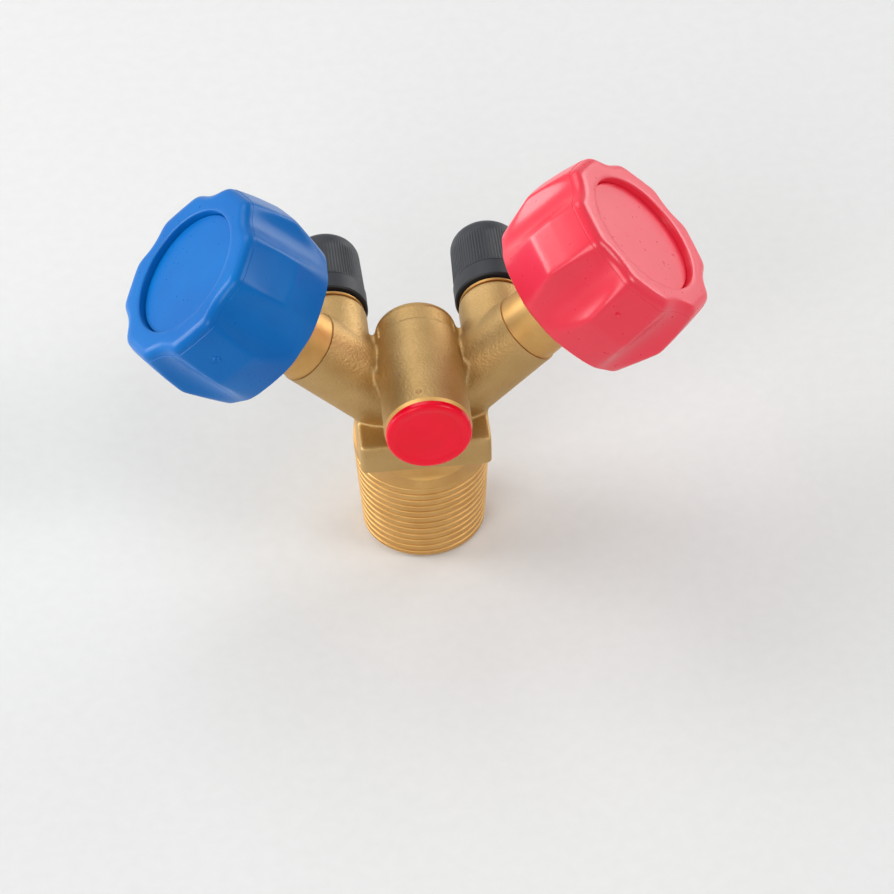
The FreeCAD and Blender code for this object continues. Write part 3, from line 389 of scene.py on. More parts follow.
def thread_row(height, crest, pitch, depth, groove, start, stop):
    """One row of a screw thread: flat crests with a groove between, fading out at its ends."""
    fade = min(1, max(0, (height - start) / pitch)) * min(1, max(0, (stop - height) / pitch))

    def radius(angle):
        from_groove = abs((height / pitch - angle / math.tau) % 1 - 0.5)
        return crest - depth * fade * (0.5 + 0.5 * math.cos(math.pi * min(1, from_groove / groove)))
    return radius, height


def round_edges(mesh, loop):
    """The edges that join a loop of corners."""
    return [mesh.edges.get(pair) for pair in zip(loop, loop[1:] + loop[:1])]


def stem_end(mesh, outline):
    """Flat end of the stem with its three passages, one of which starts as the dip tube's socket."""
    rim = round_edges(mesh, outline)
    for place, radius, depth in (
        (GAS_PASSAGE, PASSAGE_RADIUS, PASSAGE_DEPTH),
        (TUBE_SOCKET, SOCKET_RADIUS, SOCKET_DEPTH),
        (RELIEF_PASSAGE, RELIEF_PASSAGE_RADIUS, RELIEF_PASSAGE_DEPTH),
    ):
        tube = rings(mesh, [(radius, 0), (radius, depth)], 48)
        bmesh.ops.translate(mesh, vec=(*place, 0), verts=tube[0] + tube[1])
        rim += round_edges(mesh, tube[0])
    above_socket = [(SOCKET_RADIUS, SOCKET_DEPTH), (PASSAGE_RADIUS, SOCKET_DEPTH)]
    inner = rings(mesh, above_socket + [(PASSAGE_RADIUS, PASSAGE_DEPTH)], 48)
    bmesh.ops.translate(mesh, vec=(*TUBE_SOCKET, 0), verts=inner[0] + inner[1] + inner[2])
    bmesh.ops.triangle_fill(mesh, edges=rim, use_beauty=True)


def threaded_stem(material):
    """Taper-threaded stem with its end face, its band, and the collar that meets the block."""
    mesh = bmesh.new()
    small = THREAD_RADIUS - THREAD_TAPER * THREAD_END
    rows = [(small - STEM_CHAMFER, 0)]
    count = round(THREAD_END / THREAD_PITCH * THREAD_ROWS_A_TURN)
    for number in range(count + 1):
        height = STEM_CHAMFER + (THREAD_END - STEM_CHAMFER) * number / count
        crest = small + THREAD_TAPER * height
        rows.append(thread_row(
            height, crest, THREAD_PITCH, THREAD_DEPTH, THREAD_GROOVE, -THREAD_PITCH, THREAD_END,
        ))
    for number in range(COLLAR_ROWS + 1):
        share = number / COLLAR_ROWS
        radius = THREAD_RADIUS + (COLLAR_RADIUS - THREAD_RADIUS) * share
        rows.append((radius, BAND_TOP + (BLOCK_BOTTOM - BAND_TOP) * share))
    loops = rings(mesh, rows, 200)
    # Four flats cut the collar off in line with the block's sides, and run out into the round band.
    for corner in mesh.verts:
        place = corner.co
        runout = max(0, 1 - (place.z - BAND_TOP) / FLAT_RUNOUT) ** 2
        half = COLLAR_FLAT + (THREAD_RADIUS - COLLAR_FLAT) * runout
        if place.z > BAND_TOP:
            place.x = max(-half, min(half, place.x))
            place.y = max(-half, min(half, place.y))
    stem_end(mesh, loops[0])
    finished("threaded_stem", mesh, Matrix.Identity(4), material, "valve", 35)


def arm_end(word, material):
    """Turned end of an arm, with the bore that takes the bonnet nut."""
    mesh = bmesh.new()
    turned, chamfer = ARM_TURNED_RADIUS, ARM_TURNED_CHAMFER
    bore = BONNET_THREAD_RADIUS
    # The first ring lies a hair inside the forged skin, so that no slit shows between the two.
    rings(mesh, [
        (ARM_RADIUS - 0.06, ARM_FORGED_END - 0.01), (turned, ARM_FORGED_END + 0.1),
        (turned, ARM_END - chamfer), (turned - chamfer, ARM_END), (bore, ARM_END),
        (bore, BONNET_THREAD_BOTTOM), (ARM_BORE_RADIUS, BONNET_THREAD_BOTTOM), (ARM_BORE_RADIUS, ARM_SEAT),
    ], 128)
    finished(word + "_arm_end", mesh, arm_frame(word), material, "valve")


def outlet_end(word, side, material):
    """Turned end of an outlet: neck, ring, flare thread, seat cone and bore."""
    mesh = bmesh.new()
    neck, ring = OUTLET_NECK_RADIUS, OUTLET_RING_RADIUS
    low, high = OUTLET_RING_START, OUTLET_RING_END
    rows = [(neck, OUTLET_NECK_START), (neck, low), (ring - 0.2, low), (ring, low + 0.15)]
    rows += [(ring, high - 0.15), (ring - 0.2, high), (FLARE_ROOT, high)]
    start, stop = FLARE_START - 0.5, FLARE_END + 0.25
    for number in range(FLARE_ROWS + 1):
        height = FLARE_START + (FLARE_END - FLARE_START) * number / FLARE_ROWS
        rows.append(thread_row(
            height, FLARE_RADIUS, FLARE_PITCH, FLARE_DEPTH, FLARE_GROOVE, start, stop,
        ))
    rows += [(OUTLET_TIP_RADIUS, OUTLET_TIP), (OUTLET_BORE_RADIUS, OUTLET_TIP)]
    rows += [(OUTLET_BORE_RADIUS, ARM_BORE_RADIUS)]
    rings(mesh, rows, 160)
    finished(word + "_outlet_end", mesh, outlet_frame(side), material, "valve", 35)


def barrel_mouth(material):
    """Turned rim of the relief barrel, and the bore behind it."""
    mesh = bmesh.new()
    rim = BARREL_BACK + BARREL_FRONT
    wall = BARREL_RIM_RADIUS - 0.03
    step = rim - RELIEF_MOUTH_DEPTH
    rings(mesh, [
        (wall, rim - BARREL_CHAMFER - 0.02), (wall - BARREL_CHAMFER, rim), (RELIEF_MOUTH_RADIUS, rim),
        (RELIEF_MOUTH_RADIUS, step), (RELIEF_BORE, step), (RELIEF_BORE, RELIEF_BORE_BOTTOM),
        (RELIEF_SEAT_RADIUS, RELIEF_BORE_BOTTOM), (RELIEF_SEAT_RADIUS, RELIEF_SEAT_TOP),
        (RELIEF_INLET_RADIUS, RELIEF_SEAT_TOP), (RELIEF_INLET_RADIUS, RELIEF_INLET_BOTTOM),
        (0, RELIEF_INLET_BOTTOM),
    ], 128)
    placing = along((0, BARREL_BACK, PORT_HEIGHT), (0, -1, 0))
    finished("relief_barrel_mouth", mesh, placing, material, "valve")


UPRIGHT = turned_brass("turned_brass_stem", 0, 0)
LEVEL = turned_brass("turned_brass_outlets_and_barrel", math.pi / 2, 0)
ON_ARM = {
    word: turned_brass(f"turned_brass_{word}_arm", 0, -side * math.pi / 4) for word, side in SIDES.items()
}
threaded_stem(UPRIGHT)
barrel_mouth(LEVEL)
for word, side in SIDES.items():
    arm_end(word, ON_ARM[word])
    outlet_end(word, side, LEVEL)


# Spindles, plugs and bonnet nuts
# Bar brass turned to size, with rubber rings in the spindle's grooves, and a soft plastic disc
# that closes on the seat. They are CAD pieces as they are, and only get their finish here.


def paint(name, material):
    """Gives a CAD piece its material."""
    data = frame["nodes"][name].data
    data.materials.clear()
    data.materials.append(material)


def moulded_rubber():
    """Black nitrile rubber from a mould: dull, with a faint bloom."""
    material, place = blank_material("moulded_nitrile_rubber")
    bloom = node(material, "ShaderNodeTexNoise", {"Vector": place, "Scale": 1 / (1.5 * MM), "Detail": 3})
    tone = node(material, "ShaderNodeMix", {
        "Factor": bloom.outputs["Fac"], "A": hex_colour("#101010"), "B": hex_colour("#282828"),
    }, data_type="RGBA")
    shader = node(material, "ShaderNodeBsdfPrincipled", {
        "Base Color": tone.outputs["Result"], "Roughness": 0.62, "IOR": 1.52,
    })
    node(material, "ShaderNodeOutputMaterial", {"Surface": shader.outputs["BSDF"]})
    return material


def machined_fluoroplastic():
    """White fluoroplastic cut from bar: waxy, and a little see-through at its edges."""
    material, place = blank_material("machined_white_fluoroplastic")
    cuts = node(material, "ShaderNodeTexNoise", {"Vector": place, "Scale": 1 / (0.3 * MM), "Detail": 2})
    tone = node(material, "ShaderNodeMix", {
        "Factor": cuts.outputs["Fac"], "A": hex_colour("#E0DCD0"), "B": hex_colour("#F4F2EA"),
    }, data_type="RGBA")
    shader = node(material, "ShaderNodeBsdfPrincipled", {
        "Base Color": tone.outputs["Result"],
        "Roughness": 0.45,
        "IOR": 1.35,
        "Subsurface Weight": 0.15,
        "Subsurface Scale": 0.5 * MM,
    })
    node(material, "ShaderNodeOutputMaterial", {"Surface": shader.outputs["BSDF"]})
    return material


RUBBER = moulded_rubber()
FLUOROPLASTIC = machined_fluoroplastic()
for word in SIDES:
    for name in ("plug", "spindle", "bonnet_nut"):
        paint(f"{word}_{name}", ON_ARM[word])
    for name in ("seat_disc", "bonnet_washer"):
        paint(f"{word}_{name}", FLUOROPLASTIC)
    paint(word + "_spindle_rings", RUBBER)


# Handwheels
# Each is one hollow moulding in satin polypropylene, blue for vapour and red for liquid: six flats,
# six finger scoops between them, ribs to the hub inside, and a cover disc snapped into its face.
# The mould parts in a fine line where the rounded edge of the face begins.

WHEEL_BASE, WHEEL_WIDE, WHEEL_SHOULDER, WHEEL_FACE = 43.8, 54.0, 61.8, 66.8
BLANK_RADII = (18.9, 22.0, 21.5, 20.3)
FLAT_RADII = (18.5, 21.2, 19.4)
SIXTH_OF_TURN = math.tau / 6
SCOOP_RADIUS, SCOOP_DISTANCE, SCOOP_LEAN = 9.6, 28.2, math.radians(1.1)
RIDGE_ROUND, FACE_RIDGE_ROUND, RIDGE_SOFTENS = 0.42, 0.8, 59.0
CREASE_ROUND = 0.12
EDGE_HEIGHT, EDGE_WIDTH = 2.2, 2.3
MOULD_LINE = 0.14
WALL_INSIDE, WALL_UNDER_SCOOP = 16.6, 2.3
HUB_RADIUS = 7.6
SQUARE_WIDTH, SQUARE_BOTTOM, SQUARE_TOP = 5.5, 49.6, 55.6
SCREW_WELL = 5.6
COVER_RECESS, COVER_SEAT, COVER_LIP = 13.85, 63.4, 0.4
CROWN_UNDERSIDE = COVER_SEAT - 2.4
RIB_HALF, RIB_LIFT = 0.8, 7.0
WHEEL_ANGLE = {"vapour": -1.0, "liquid": -5.0}
GATE_MARK = {"vapour": (269.0, 0.95), "liquid": (265.0, 0.55)}
GATE_HEIGHT, GATE_RIM_HEIGHT, GATE_DIMPLE_HEIGHT = 58.9, 0.36, 0.1


def moulded_polypropylene(name, deep, plain, gloss):
    """Satin coloured plastic with soft gleams, and with faint clouds where it flowed in the mould."""
    material, place = blank_material(name)
    flow = node(material, "ShaderNodeTexNoise", {"Vector": place, "Scale": 1 / (14 * MM), "Detail": 2})
    # The spark-eroded mould leaves a grain of about 0.05 mm. It is drawn coarser, as it would not show.
    grain = node(material, "ShaderNodeTexNoise", {"Vector": place, "Scale": 1 / (0.9 * MM), "Detail": 0})
    tone = node(material, "ShaderNodeMix", {
        "Factor": flow.outputs["Fac"], "A": hex_colour(deep), "B": hex_colour(plain),
    }, data_type="RGBA")
    roughness = node(material, "ShaderNodeMapRange", {
        "Value": grain.outputs["Fac"], "To Min": 0.27, "To Max": 0.29,
    })
    bump = node(material, "ShaderNodeBump", {
        "Height": grain.outputs["Fac"], "Strength": 0.1, "Distance": 0.004 * MM,
    })
    shader = node(material, "ShaderNodeBsdfPrincipled", {
        "Base Color": tone.outputs["Result"],
        "Roughness": roughness.outputs["Result"],
        "IOR": 1.49,
        "Specular IOR Level": gloss,
        "Subsurface Weight": 0.1,
        "Subsurface Radius": (1.0, 0.8, 0.6),
        "Subsurface Scale": 0.6 * MM,
        "Normal": bump.outputs["Normal"],
    })
    node(material, "ShaderNodeOutputMaterial", {"Surface": shader.outputs["BSDF"]})
    return material


def softest(lengths, blend):
    """The least of some lengths, with the corner between two of them rounded."""
    least = min(lengths)
    return least - blend * math.log(sum(math.exp((least - length) / blend) for length in lengths))


def between(height, low, first, high, last):
    """Straight-line value at a height, from the values at two heights."""
    return first + (last - first) * (height - low) / (high - low)


def wheel_side(height):
    """Radius of the handwheel's side at a height, as a function of the angle."""
    base, wide, shoulder, face = BLANK_RADII
    blank = softest([
        between(height, WHEEL_BASE, base, WHEEL_WIDE, wide),
        between(height, WHEEL_WIDE, wide, WHEEL_SHOULDER, shoulder),
        between(height, WHEEL_SHOULDER, shoulder, WHEEL_FACE, face),
    ], CREASE_ROUND)
    flat = softest([
        between(height, WHEEL_BASE - 1, FLAT_RADII[0], WHEEL_WIDE, FLAT_RADII[1]),
        between(height, WHEEL_WIDE, FLAT_RADII[1], WHEEL_FACE + 1, FLAT_RADII[2]),
    ], CREASE_ROUND)
    centre = SCOOP_DISTANCE + (WHEEL_FACE - height) * math.tan(SCOOP_LEAN)
    softened = min(1, max(0, between(height, RIDGE_SOFTENS, 0, WHEEL_FACE - EDGE_HEIGHT, 1)))
    ridge = RIDGE_ROUND + (FACE_RIDGE_ROUND - RIDGE_ROUND) * softened

    def radius(angle):
        from_scoop = (angle + SIXTH_OF_TURN / 2) % SIXTH_OF_TURN - SIXTH_OF_TURN / 2
        from_flat = angle % SIXTH_OF_TURN - SIXTH_OF_TURN / 2
        lengths = [blank, flat / math.cos(from_flat)]
        room = SCOOP_RADIUS ** 2 - (centre * math.sin(from_scoop)) ** 2
        if room > 0:
            lengths.append(centre * math.cos(from_scoop) - math.sqrt(room))
        return softest(lengths, ridge)
    return radius


def inset(side, depth):
    """The wheel's outline drawn in by a depth."""
    return lambda angle: side(angle) - depth


def towards(side, radius, share):
    """An outline part of the way from the wheel's outline to a circle."""
    return lambda angle: side(angle) * (1 - share) + radius * share


def square_hole(angle):
    """Radius of the square hole that sits on the spindle."""
    return SQUARE_WIDTH / 2 / max(abs(math.cos(angle)), abs(math.sin(angle)))


def rib(mesh, angle, wall_top):
    """One rib between the hub and the wheel's wall."""
    low, high = WHEEL_BASE + RIB_LIFT, CROWN_UNDERSIDE + 0.5
    wall_low = (wall_top + WALL_INSIDE) / 2 + 0.5
    outline = [(HUB_RADIUS - 0.5, low), (wall_low, low), (wall_top + 0.5, high), (HUB_RADIUS - 0.5, high)]
    turn = Matrix.Rotation(angle, 3, "Z")
    sides = [
        [mesh.verts.new(turn @ Vector((radius, across, height))) for radius, height in outline]
        for across in (-RIB_HALF, RIB_HALF)
    ]
    mesh.faces.new(sides[0])
    mesh.faces.new(sides[1])
    for number in range(4):
        after = (number + 1) % 4
        mesh.faces.new((sides[0][number], sides[0][after], sides[1][after], sides[1][number]))


def gate_mark(mesh, angle, size):
    """Low button with a dimple on one flat, where the plastic entered the mould."""
    part = bmesh.new()
    top, dimple = GATE_RIM_HEIGHT, GATE_DIMPLE_HEIGHT
    rings(part, [
        (0, -1), (size, -1), (size, 0), (size * 0.7, top), (size * 0.35, dimple + 0.06), (0, dimple),
    ], 24)
    radius = wheel_side(GATE_HEIGHT)(angle)
    outward = Matrix.Rotation(angle, 4, "Z") @ Matrix.Translation((radius, 0, GATE_HEIGHT))
    join(mesh, part, outward @ Matrix.Rotation(math.pi / 2, 4, "Y"))


def handwheel(word, material):
    """The whole moulding as one skin, from the hub round the outside and back down the screw's well."""
    mesh = bmesh.new()
    under = CROWN_UNDERSIDE
    scoop_floor = SCOOP_DISTANCE - SCOOP_RADIUS + (WHEEL_FACE - under) * math.tan(SCOOP_LEAN)
    wall_top = scoop_floor - WALL_UNDER_SCOOP
    rows = [(square_hole, SQUARE_BOTTOM), (HUB_RADIUS, SQUARE_BOTTOM), (HUB_RADIUS, under)]
    rows += [(wall_top, under), (WALL_INSIDE, WHEEL_BASE), (inset(wheel_side(WHEEL_BASE), 0.6), WHEEL_BASE)]
    edge_start = WHEEL_FACE - EDGE_HEIGHT
    for number in range(65):
        height = between(number, 0, WHEEL_BASE + 0.5, 64, edge_start)
        rows.append((wheel_side(height), height))
    shoulder = inset(wheel_side(edge_start), MOULD_LINE)
    for step in range(8):
        lean = math.pi / 2 * step / 7
        drawn_in = EDGE_WIDTH * (1 - math.cos(lean))
        rows.append((inset(shoulder, drawn_in), edge_start + 0.08 + (EDGE_HEIGHT - 0.08) * math.sin(lean)))
    lip = COVER_RECESS + COVER_LIP
    for share in (0.35, 0.7):
        rows.append((towards(inset(shoulder, EDGE_WIDTH), lip, share), WHEEL_FACE))
    for step in range(4):
        lean = math.pi / 2 * step / 3
        rows.append((lip - COVER_LIP * math.sin(lean), WHEEL_FACE - COVER_LIP * (1 - math.cos(lean))))
    rows += [(COVER_RECESS, COVER_SEAT), (SCREW_WELL, COVER_SEAT)]
    rows += [(SCREW_WELL, SQUARE_TOP), (square_hole, SQUARE_TOP)]
    rings(mesh, rows, 360, closed=True)
    for number in range(6):
        rib(mesh, SIXTH_OF_TURN / 2 + SIXTH_OF_TURN * number, wall_top)
    angle, size = GATE_MARK[word]
    gate_mark(mesh, math.radians(angle), size)
    placing = arm_frame(word) @ Matrix.Rotation(math.radians(WHEEL_ANGLE[word]), 4, "Z")
    piece = finished(word + "_handwheel_moulding", mesh, placing, material, word + "_wheel", 40)
    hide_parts(word + "_handwheel")


WHEEL_PLASTIC = {
    "vapour": moulded_polypropylene("moulded_polypropylene_blue", "#005CAC", "#0074C2", 0.2),
    "liquid": moulded_polypropylene("moulded_polypropylene_red", "#EA1E3A", "#F6364E", 0.6),
}
for word in SIDES:
    handwheel(word, WHEEL_PLASTIC[word])
    paint(word + "_wheel_cover", WHEEL_PLASTIC[word])


# Screws, washers and spring
# Zinc-plated steel: the slotted screw and washer that hold each handwheel on its spindle, and the
# coiled wire that shuts the relief valve.

SPRING_RADIUS, SPRING_WIRE, SPRING_TURNS = 3.7, 0.45, 4


def zinc_plated_steel():
    """Pale grey metal with the cloudy sheen of a bright zinc bath."""
    material, place = blank_material("zinc_plated_steel")
    cloud = node(material, "ShaderNodeTexNoise", {"Vector": place, "Scale": 1 / (1.2 * MM), "Detail": 4})
    tone = node(material, "ShaderNodeMix", {
        "Factor": cloud.outputs["Fac"], "A": hex_colour("#8E9092"), "B": hex_colour("#D0D2D4"),
    }, data_type="RGBA")
    roughness = node(material, "ShaderNodeMapRange", {
        "Value": cloud.outputs["Fac"], "To Min": 0.22, "To Max": 0.38,
    })
    shader = node(material, "ShaderNodeBsdfPrincipled", {
        "Base Color": tone.outputs["Result"], "Metallic": 1.0, "Roughness": roughness.outputs["Result"],
    })
    node(material, "ShaderNodeOutputMaterial", {"Surface": shader.outputs["BSDF"]})
    return material


def coil_spring(material):
    """Round wire wound between the poppet and the setting screw, which holds its front end."""
    low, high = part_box("relief_spring")
    rear, front = -high[1] / MM, -low[1] / MM
    mesh = bmesh.new()
    per_turn, round_wire = 36, 12
    steps = per_turn * SPRING_TURNS
    loops = []
    for step in range(steps + 1):
        turn = Matrix.Rotation(math.tau * step / per_turn, 3, "Z")
        middle = Vector((SPRING_RADIUS, 0, between(step, 0, rear + SPRING_WIRE, steps, front - SPRING_WIRE)))
        leans = [math.tau * number / round_wire for number in range(round_wire)]
        edge = [middle + SPRING_WIRE * Vector((math.cos(lean), 0, math.sin(lean))) for lean in leans]
        loops.append([mesh.verts.new(turn @ place) for place in edge])
    for first, second in zip(loops, loops[1:]):
        for number in range(round_wire):
            mesh.faces.new((first[number - 1], first[number], second[number], second[number - 1]))
    mesh.faces.new(loops[0])
    mesh.faces.new(loops[-1])
    placing = along((0, 0, PORT_HEIGHT), (0, -1, 0))
    piece = finished("relief_coil_spring", mesh, placing, material, "valve")
    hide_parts("relief_spring")
    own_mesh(piece)


STEEL = zinc_plated_steel()
for word in SIDES:
    paint(word + "_wheel_screw", STEEL)
    paint(word + "_wheel_washer", STEEL)
coil_spring(STEEL)


# Dust caps
# Each outlet's cap is moulded in matt black plastic: a plain band at the rim, a thin line, fine grip
# ridges along its taper, and a rounded end. It screws on, and its gasket closes on the flare.

CAP_RIM, CAP_LINE, CAP_TOP = 15.2, 19.8, 34.2
CAP_BORE, CAP_BORE_END = 5.61, 29.35
CAP_BAND_RADIUS, CAP_GRIP_RADIUS, CAP_END_RADIUS = 8.05, 7.9, 7.54
CAP_LINE_DEPTH = 0.37
CAP_ROUND, CAP_CROWN = 3.4, 0.28
GRIP_COUNT, GRIP_DEPTH, GRIP_END = 76, 0.14, 30.4


def moulded_polyamide():
    """Matt black plastic, grey-blue where light grazes it."""
    material, place = blank_material("moulded_black_polyamide")
    # The mould's grain of about 0.05 mm is drawn coarser, as it would not show.
    grain = node(material, "ShaderNodeTexNoise", {"Vector": place, "Scale": 1 / (0.4 * MM), "Detail": 3})
    scuffs = node(material, "ShaderNodeTexNoise", {"Vector": place, "Scale": 1 / (4 * MM), "Detail": 4})
    tone = node(material, "ShaderNodeMix", {
        "Factor": scuffs.outputs["Fac"], "A": hex_colour("#10141B"), "B": hex_colour("#20262F"),
    }, data_type="RGBA")
    roughness = node(material, "ShaderNodeMapRange", {
        "Value": grain.outputs["Fac"], "To Min": 0.45, "To Max": 0.62,
    })
    bump = node(material, "ShaderNodeBump", {
        "Height": grain.outputs["Fac"], "Strength": 0.25, "Distance": 0.03 * MM,
    })
    shader = node(material, "ShaderNodeBsdfPrincipled", {
        "Base Color": tone.outputs["Result"],
        "Roughness": roughness.outputs["Result"],
        "IOR": 1.53,
        "Sheen Weight": 0.1,
        "Sheen Roughness": 0.4,
        "Normal": bump.outputs["Normal"],
    })
    node(material, "ShaderNodeOutputMaterial", {"Surface": shader.outputs["BSDF"]})
    return material


def grip(radius, height):
    """Radius at an angle of the ridged part, whose ridges fade out at both ends."""
    fade = min(1, max(0, (height - CAP_LINE) / 0.5)) * min(1, max(0, (GRIP_END - height) / 1.2))
    return lambda angle: radius - GRIP_DEPTH * fade * (0.5 - 0.5 * math.cos(GRIP_COUNT * angle))


def dust_cap(word, side, material):
    """Cap with its grip outside and its plain bore inside."""
    mesh = bmesh.new()
    band = CAP_BAND_RADIUS
    rows = [(CAP_BORE, CAP_RIM), (band - 0.3, CAP_RIM), (band, CAP_RIM + 0.3), (band, CAP_LINE - 0.3)]
    rows += [(band - CAP_LINE_DEPTH, CAP_LINE - 0.25), (band - CAP_LINE_DEPTH, CAP_LINE - 0.02)]
    rows += [(CAP_GRIP_RADIUS - 0.02, CAP_LINE)]
    bend = CAP_TOP - CAP_ROUND
    for number in range(25):
        height = between(number, 0, CAP_LINE, 24, bend)
        rows.append((grip(between(number, 0, CAP_GRIP_RADIUS, 24, CAP_END_RADIUS), height), height))
    for step in range(1, 9):
        lean = math.pi / 2 * step / 8
        rows.append((CAP_END_RADIUS - CAP_ROUND * (1 - math.cos(lean)), bend + CAP_ROUND * math.sin(lean)))
    rows += [(2.0, CAP_TOP + CAP_CROWN - 0.06), (0, CAP_TOP + CAP_CROWN)]
    rows += [(0, CAP_BORE_END), (CAP_BORE, CAP_BORE_END)]
    rings(mesh, rows, GRIP_COUNT * 6)
    piece = finished(word + "_dust_cap", mesh, outlet_frame(side), material, word + "_cap", 30)
    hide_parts(word + "_outlet_cap")


CAP_BLACK = moulded_polyamide()
for word, side in SIDES.items():
    dust_cap(word, side, CAP_BLACK)
    paint(word + "_cap_gasket", RUBBER)


# Relief valve
# A brass poppet with a rubber face, held shut by the spring and the vented setting screw. Its
# barrel is closed by a glossy red plastic cap that is pushed in, and blown off when gas escapes.

RELIEF_CAP_RADIUS, RELIEF_CAP_EDGE, RELIEF_CAP_FACE = 8.9, 0.85, 23.65
RELIEF_CAP_DISH = ((7.7, 0.08), (7.2, -0.12), (6.4, -0.2), (3.0, -0.1), (0, -0.06))
SKIRT_INSIDE, SKIRT_OUTSIDE, SKIRT_LENGTH = 5.35, 6.35, 3.6


def moulded_polyethylene():
    """Glossy, deep red plastic, with the faint waves of a soft moulding."""
    material, place = blank_material("moulded_red_polyethylene")
    waves = node(material, "ShaderNodeTexNoise", {"Vector": place, "Scale": 1 / (6 * MM), "Detail": 1})
    tone = node(material, "ShaderNodeMix", {
        "Factor": waves.outputs["Fac"], "A": hex_colour("#F00024"), "B": hex_colour("#FF0030"),
    }, data_type="RGBA")
    bump = node(material, "ShaderNodeBump", {
        "Height": waves.outputs["Fac"], "Strength": 0.1, "Distance": 0.05 * MM,
    })
    shader = node(material, "ShaderNodeBsdfPrincipled", {
        "Base Color": tone.outputs["Result"],
        "Roughness": 0.22,
        "IOR": 1.51,
        "Specular IOR Level": 0.25,
        "Subsurface Weight": 0.1,
        "Subsurface Radius": (1.0, 0.3, 0.2),
        "Subsurface Scale": 0.6 * MM,
        "Normal": bump.outputs["Normal"],
    })
    node(material, "ShaderNodeOutputMaterial", {"Surface": shader.outputs["BSDF"]})
    return material


def relief_cap(material):
    """Push-in cap: a rounded raised rim round a face that dips a little, and a thin skirt."""
    mesh = bmesh.new()
    seat = BARREL_FRONT + 0.05
    skirt_end = seat - SKIRT_LENGTH
    rows = [(SKIRT_INSIDE, skirt_end), (SKIRT_OUTSIDE, skirt_end), (SKIRT_OUTSIDE, seat)]
    rows += [(RELIEF_CAP_RADIUS - 0.15, seat), (RELIEF_CAP_RADIUS, seat + 0.2)]
    for step in range(7):
        lean = math.pi / 2 * step / 6
        drawn_in = RELIEF_CAP_EDGE * (1 - math.cos(lean))
        rows.append((RELIEF_CAP_RADIUS - drawn_in, seat + 0.9 + RELIEF_CAP_EDGE * math.sin(lean)))
    rows += [(radius, RELIEF_CAP_FACE + rise) for radius, rise in RELIEF_CAP_DISH]
    rows += [(0, seat), (SKIRT_INSIDE, seat)]
    rings(mesh, rows, 128)
    placing = along((0, 0, PORT_HEIGHT), (0, -1, 0))
    piece = finished("relief_dust_cap", mesh, placing, material, "relief_cap_body", 30)
    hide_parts("relief_cap")


relief_cap(moulded_polyethylene())
paint("relief_poppet", LEVEL)
paint("relief_setting_screw", LEVEL)
paint("relief_seal", RUBBER)


# Studio
# A plain pale floor, soft boxes round and over the valve, and a camera that stands and looks as
# the one that took the photograph.

# Places and distances in the studio are in metres, the camera's angles in degrees, and its lens
# and sensor in millimetres.
CAMERA_TILT, CAMERA_TURN, CAMERA_ROLL = 45.18, 4.46, 1.70
CAMERA_DISTANCE, STEM_RIGHT, STEM_DOWN = 1.0048, -0.00495, 0.01442
LENS, SENSOR_WIDTH = 187.6, 36
FLOOR_HALF = 3
LAMPS_LOOK_AT = (0, 0, 0.05)


def painted_floor():
    """Matt pale grey paint, even to the eye."""
    material, place = blank_material("matt_painted_floor")
    grain = node(material, "ShaderNodeTexNoise", {"Vector": place, "Scale": 1 / (3 * MM), "Detail": 2})
    tone = node(material, "ShaderNodeMix", {
        "Factor": grain.outputs["Fac"], "A": hex_colour("#E2E2E0"), "B": hex_colour("#E8E8E6"),
    }, data_type="RGBA")
    shader = node(material, "ShaderNodeBsdfPrincipled", {
        "Base Color": tone.outputs["Result"], "Roughness": 0.85, "Specular IOR Level": 0.2,
    })
    node(material, "ShaderNodeOutputMaterial", {"Surface": shader.outputs["BSDF"]})
    return material


def floor():
    """Large level floor under the valve."""
    mesh = bmesh.new()
    bmesh.ops.create_grid(mesh, x_segments=1, y_segments=1, size=FLOOR_HALF)
    data = bpy.data.meshes.new("floor")
    mesh.to_mesh(data)
    mesh.free()
    data.materials.append(painted_floor())
    ground = bpy.data.objects.new("floor", data)
    bpy.context.scene.collection.objects.link(ground)


def soft_box(name, place, size, power):
    """Square soft box that looks at the valve."""
    light = bpy.data.lights.new(name, "AREA")
    light.shape = "SQUARE"
    light.size = size
    light.energy = power
    lamp = bpy.data.objects.new(name, light)
    lamp.location = place
    lamp.rotation_mode = "QUATERNION"
    lamp.rotation_quaternion = (Vector(LAMPS_LOOK_AT) - Vector(place)).to_track_quat("-Z", "Y")
    bpy.context.scene.collection.objects.link(lamp)


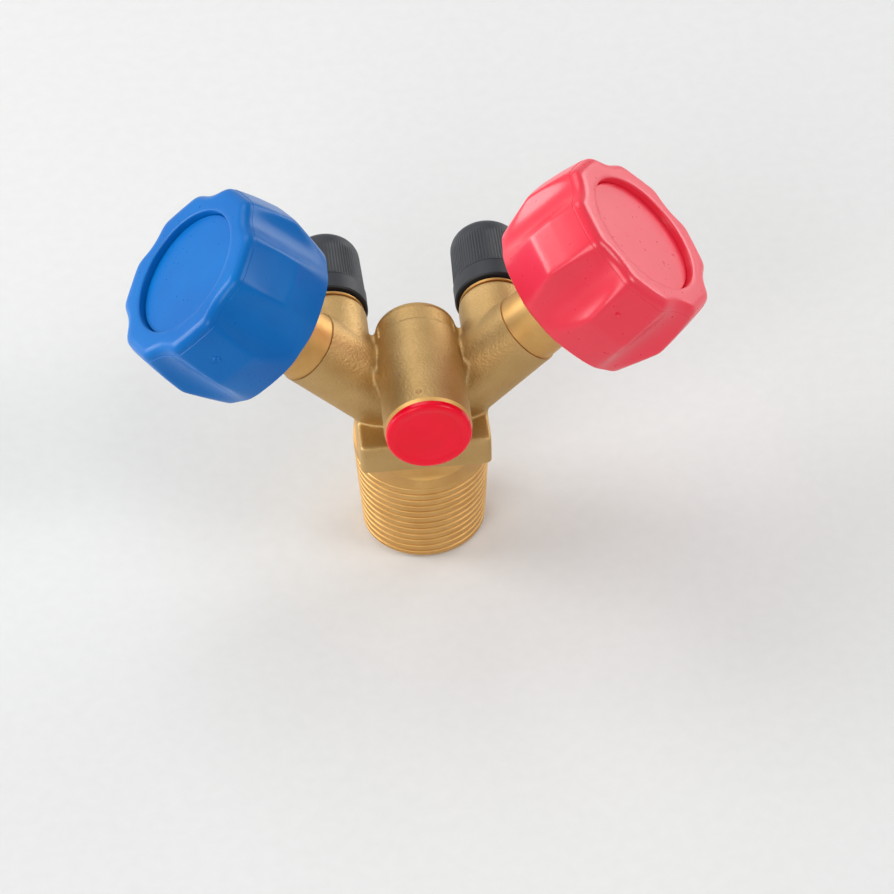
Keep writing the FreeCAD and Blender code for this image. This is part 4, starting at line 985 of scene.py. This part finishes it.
def studio_world():
    """Even grey light, with a pale backdrop for the camera and for what mirrors it or lets it through."""
    world = bpy.data.worlds.new("studio")
    bpy.context.scene.world = world
    world.use_nodes = True
    world.node_tree.nodes.clear()
    path = node(world, "ShaderNodeLightPath")
    mirrored = node(world, "ShaderNodeMath", {
        0: path.outputs["Is Camera Ray"], 1: path.outputs["Is Glossy Ray"],
    }, operation="MAXIMUM")
    seen = node(world, "ShaderNodeMath", {
        0: mirrored.outputs["Value"], 1: path.outputs["Is Transmission Ray"],
    }, operation="MAXIMUM")
    light = node(world, "ShaderNodeBackground", {"Color": hex_colour("#C9CCD0"), "Strength": 0.5})
    backdrop = node(world, "ShaderNodeBackground", {"Color": hex_colour("#E4E4E2"), "Strength": 0.8})
    both = node(world, "ShaderNodeMixShader", {
        "Fac": seen.outputs["Value"], 1: light.outputs["Background"], 2: backdrop.outputs["Background"],
    })
    node(world, "ShaderNodeOutputWorld", {"Surface": both.outputs["Shader"]})


def photo_camera():
    """Camera placed from the fit to the photograph."""
    lens = bpy.data.cameras.new("camera")
    lens.lens = LENS
    lens.sensor_width = SENSOR_WIDTH
    camera = bpy.data.objects.new("camera", lens)
    turn = Matrix.Rotation(math.radians(-CAMERA_TURN), 3, "Z")
    turn = turn @ Matrix.Rotation(math.radians(90 - CAMERA_TILT), 3, "X")
    turn = turn @ Matrix.Rotation(math.radians(-CAMERA_ROLL), 3, "Z")
    place = turn @ -Vector((STEM_RIGHT, -STEM_DOWN, -CAMERA_DISTANCE))
    camera.matrix_world = Matrix.Translation(place) @ turn.to_4x4()
    bpy.context.scene.collection.objects.link(camera)
    bpy.context.scene.camera = camera


floor()
soft_box("back_light", (-0.3, 0.6, 0.85), 0.6, 2.5)
soft_box("front_light", (-0.5, -0.75, 0.65), 0.5, 3.5)
soft_box("left_window", (-0.92, 0.2, 0.32), 0.6, 8)
soft_box("right_window", (0.75, 0.6, 0.3), 0.5, 3)
soft_box("right_top_light", (0.7, -0.35, 0.75), 0.4, 3)
studio_world()
photo_camera()
bpy.context.scene.view_settings.view_transform = "Standard"
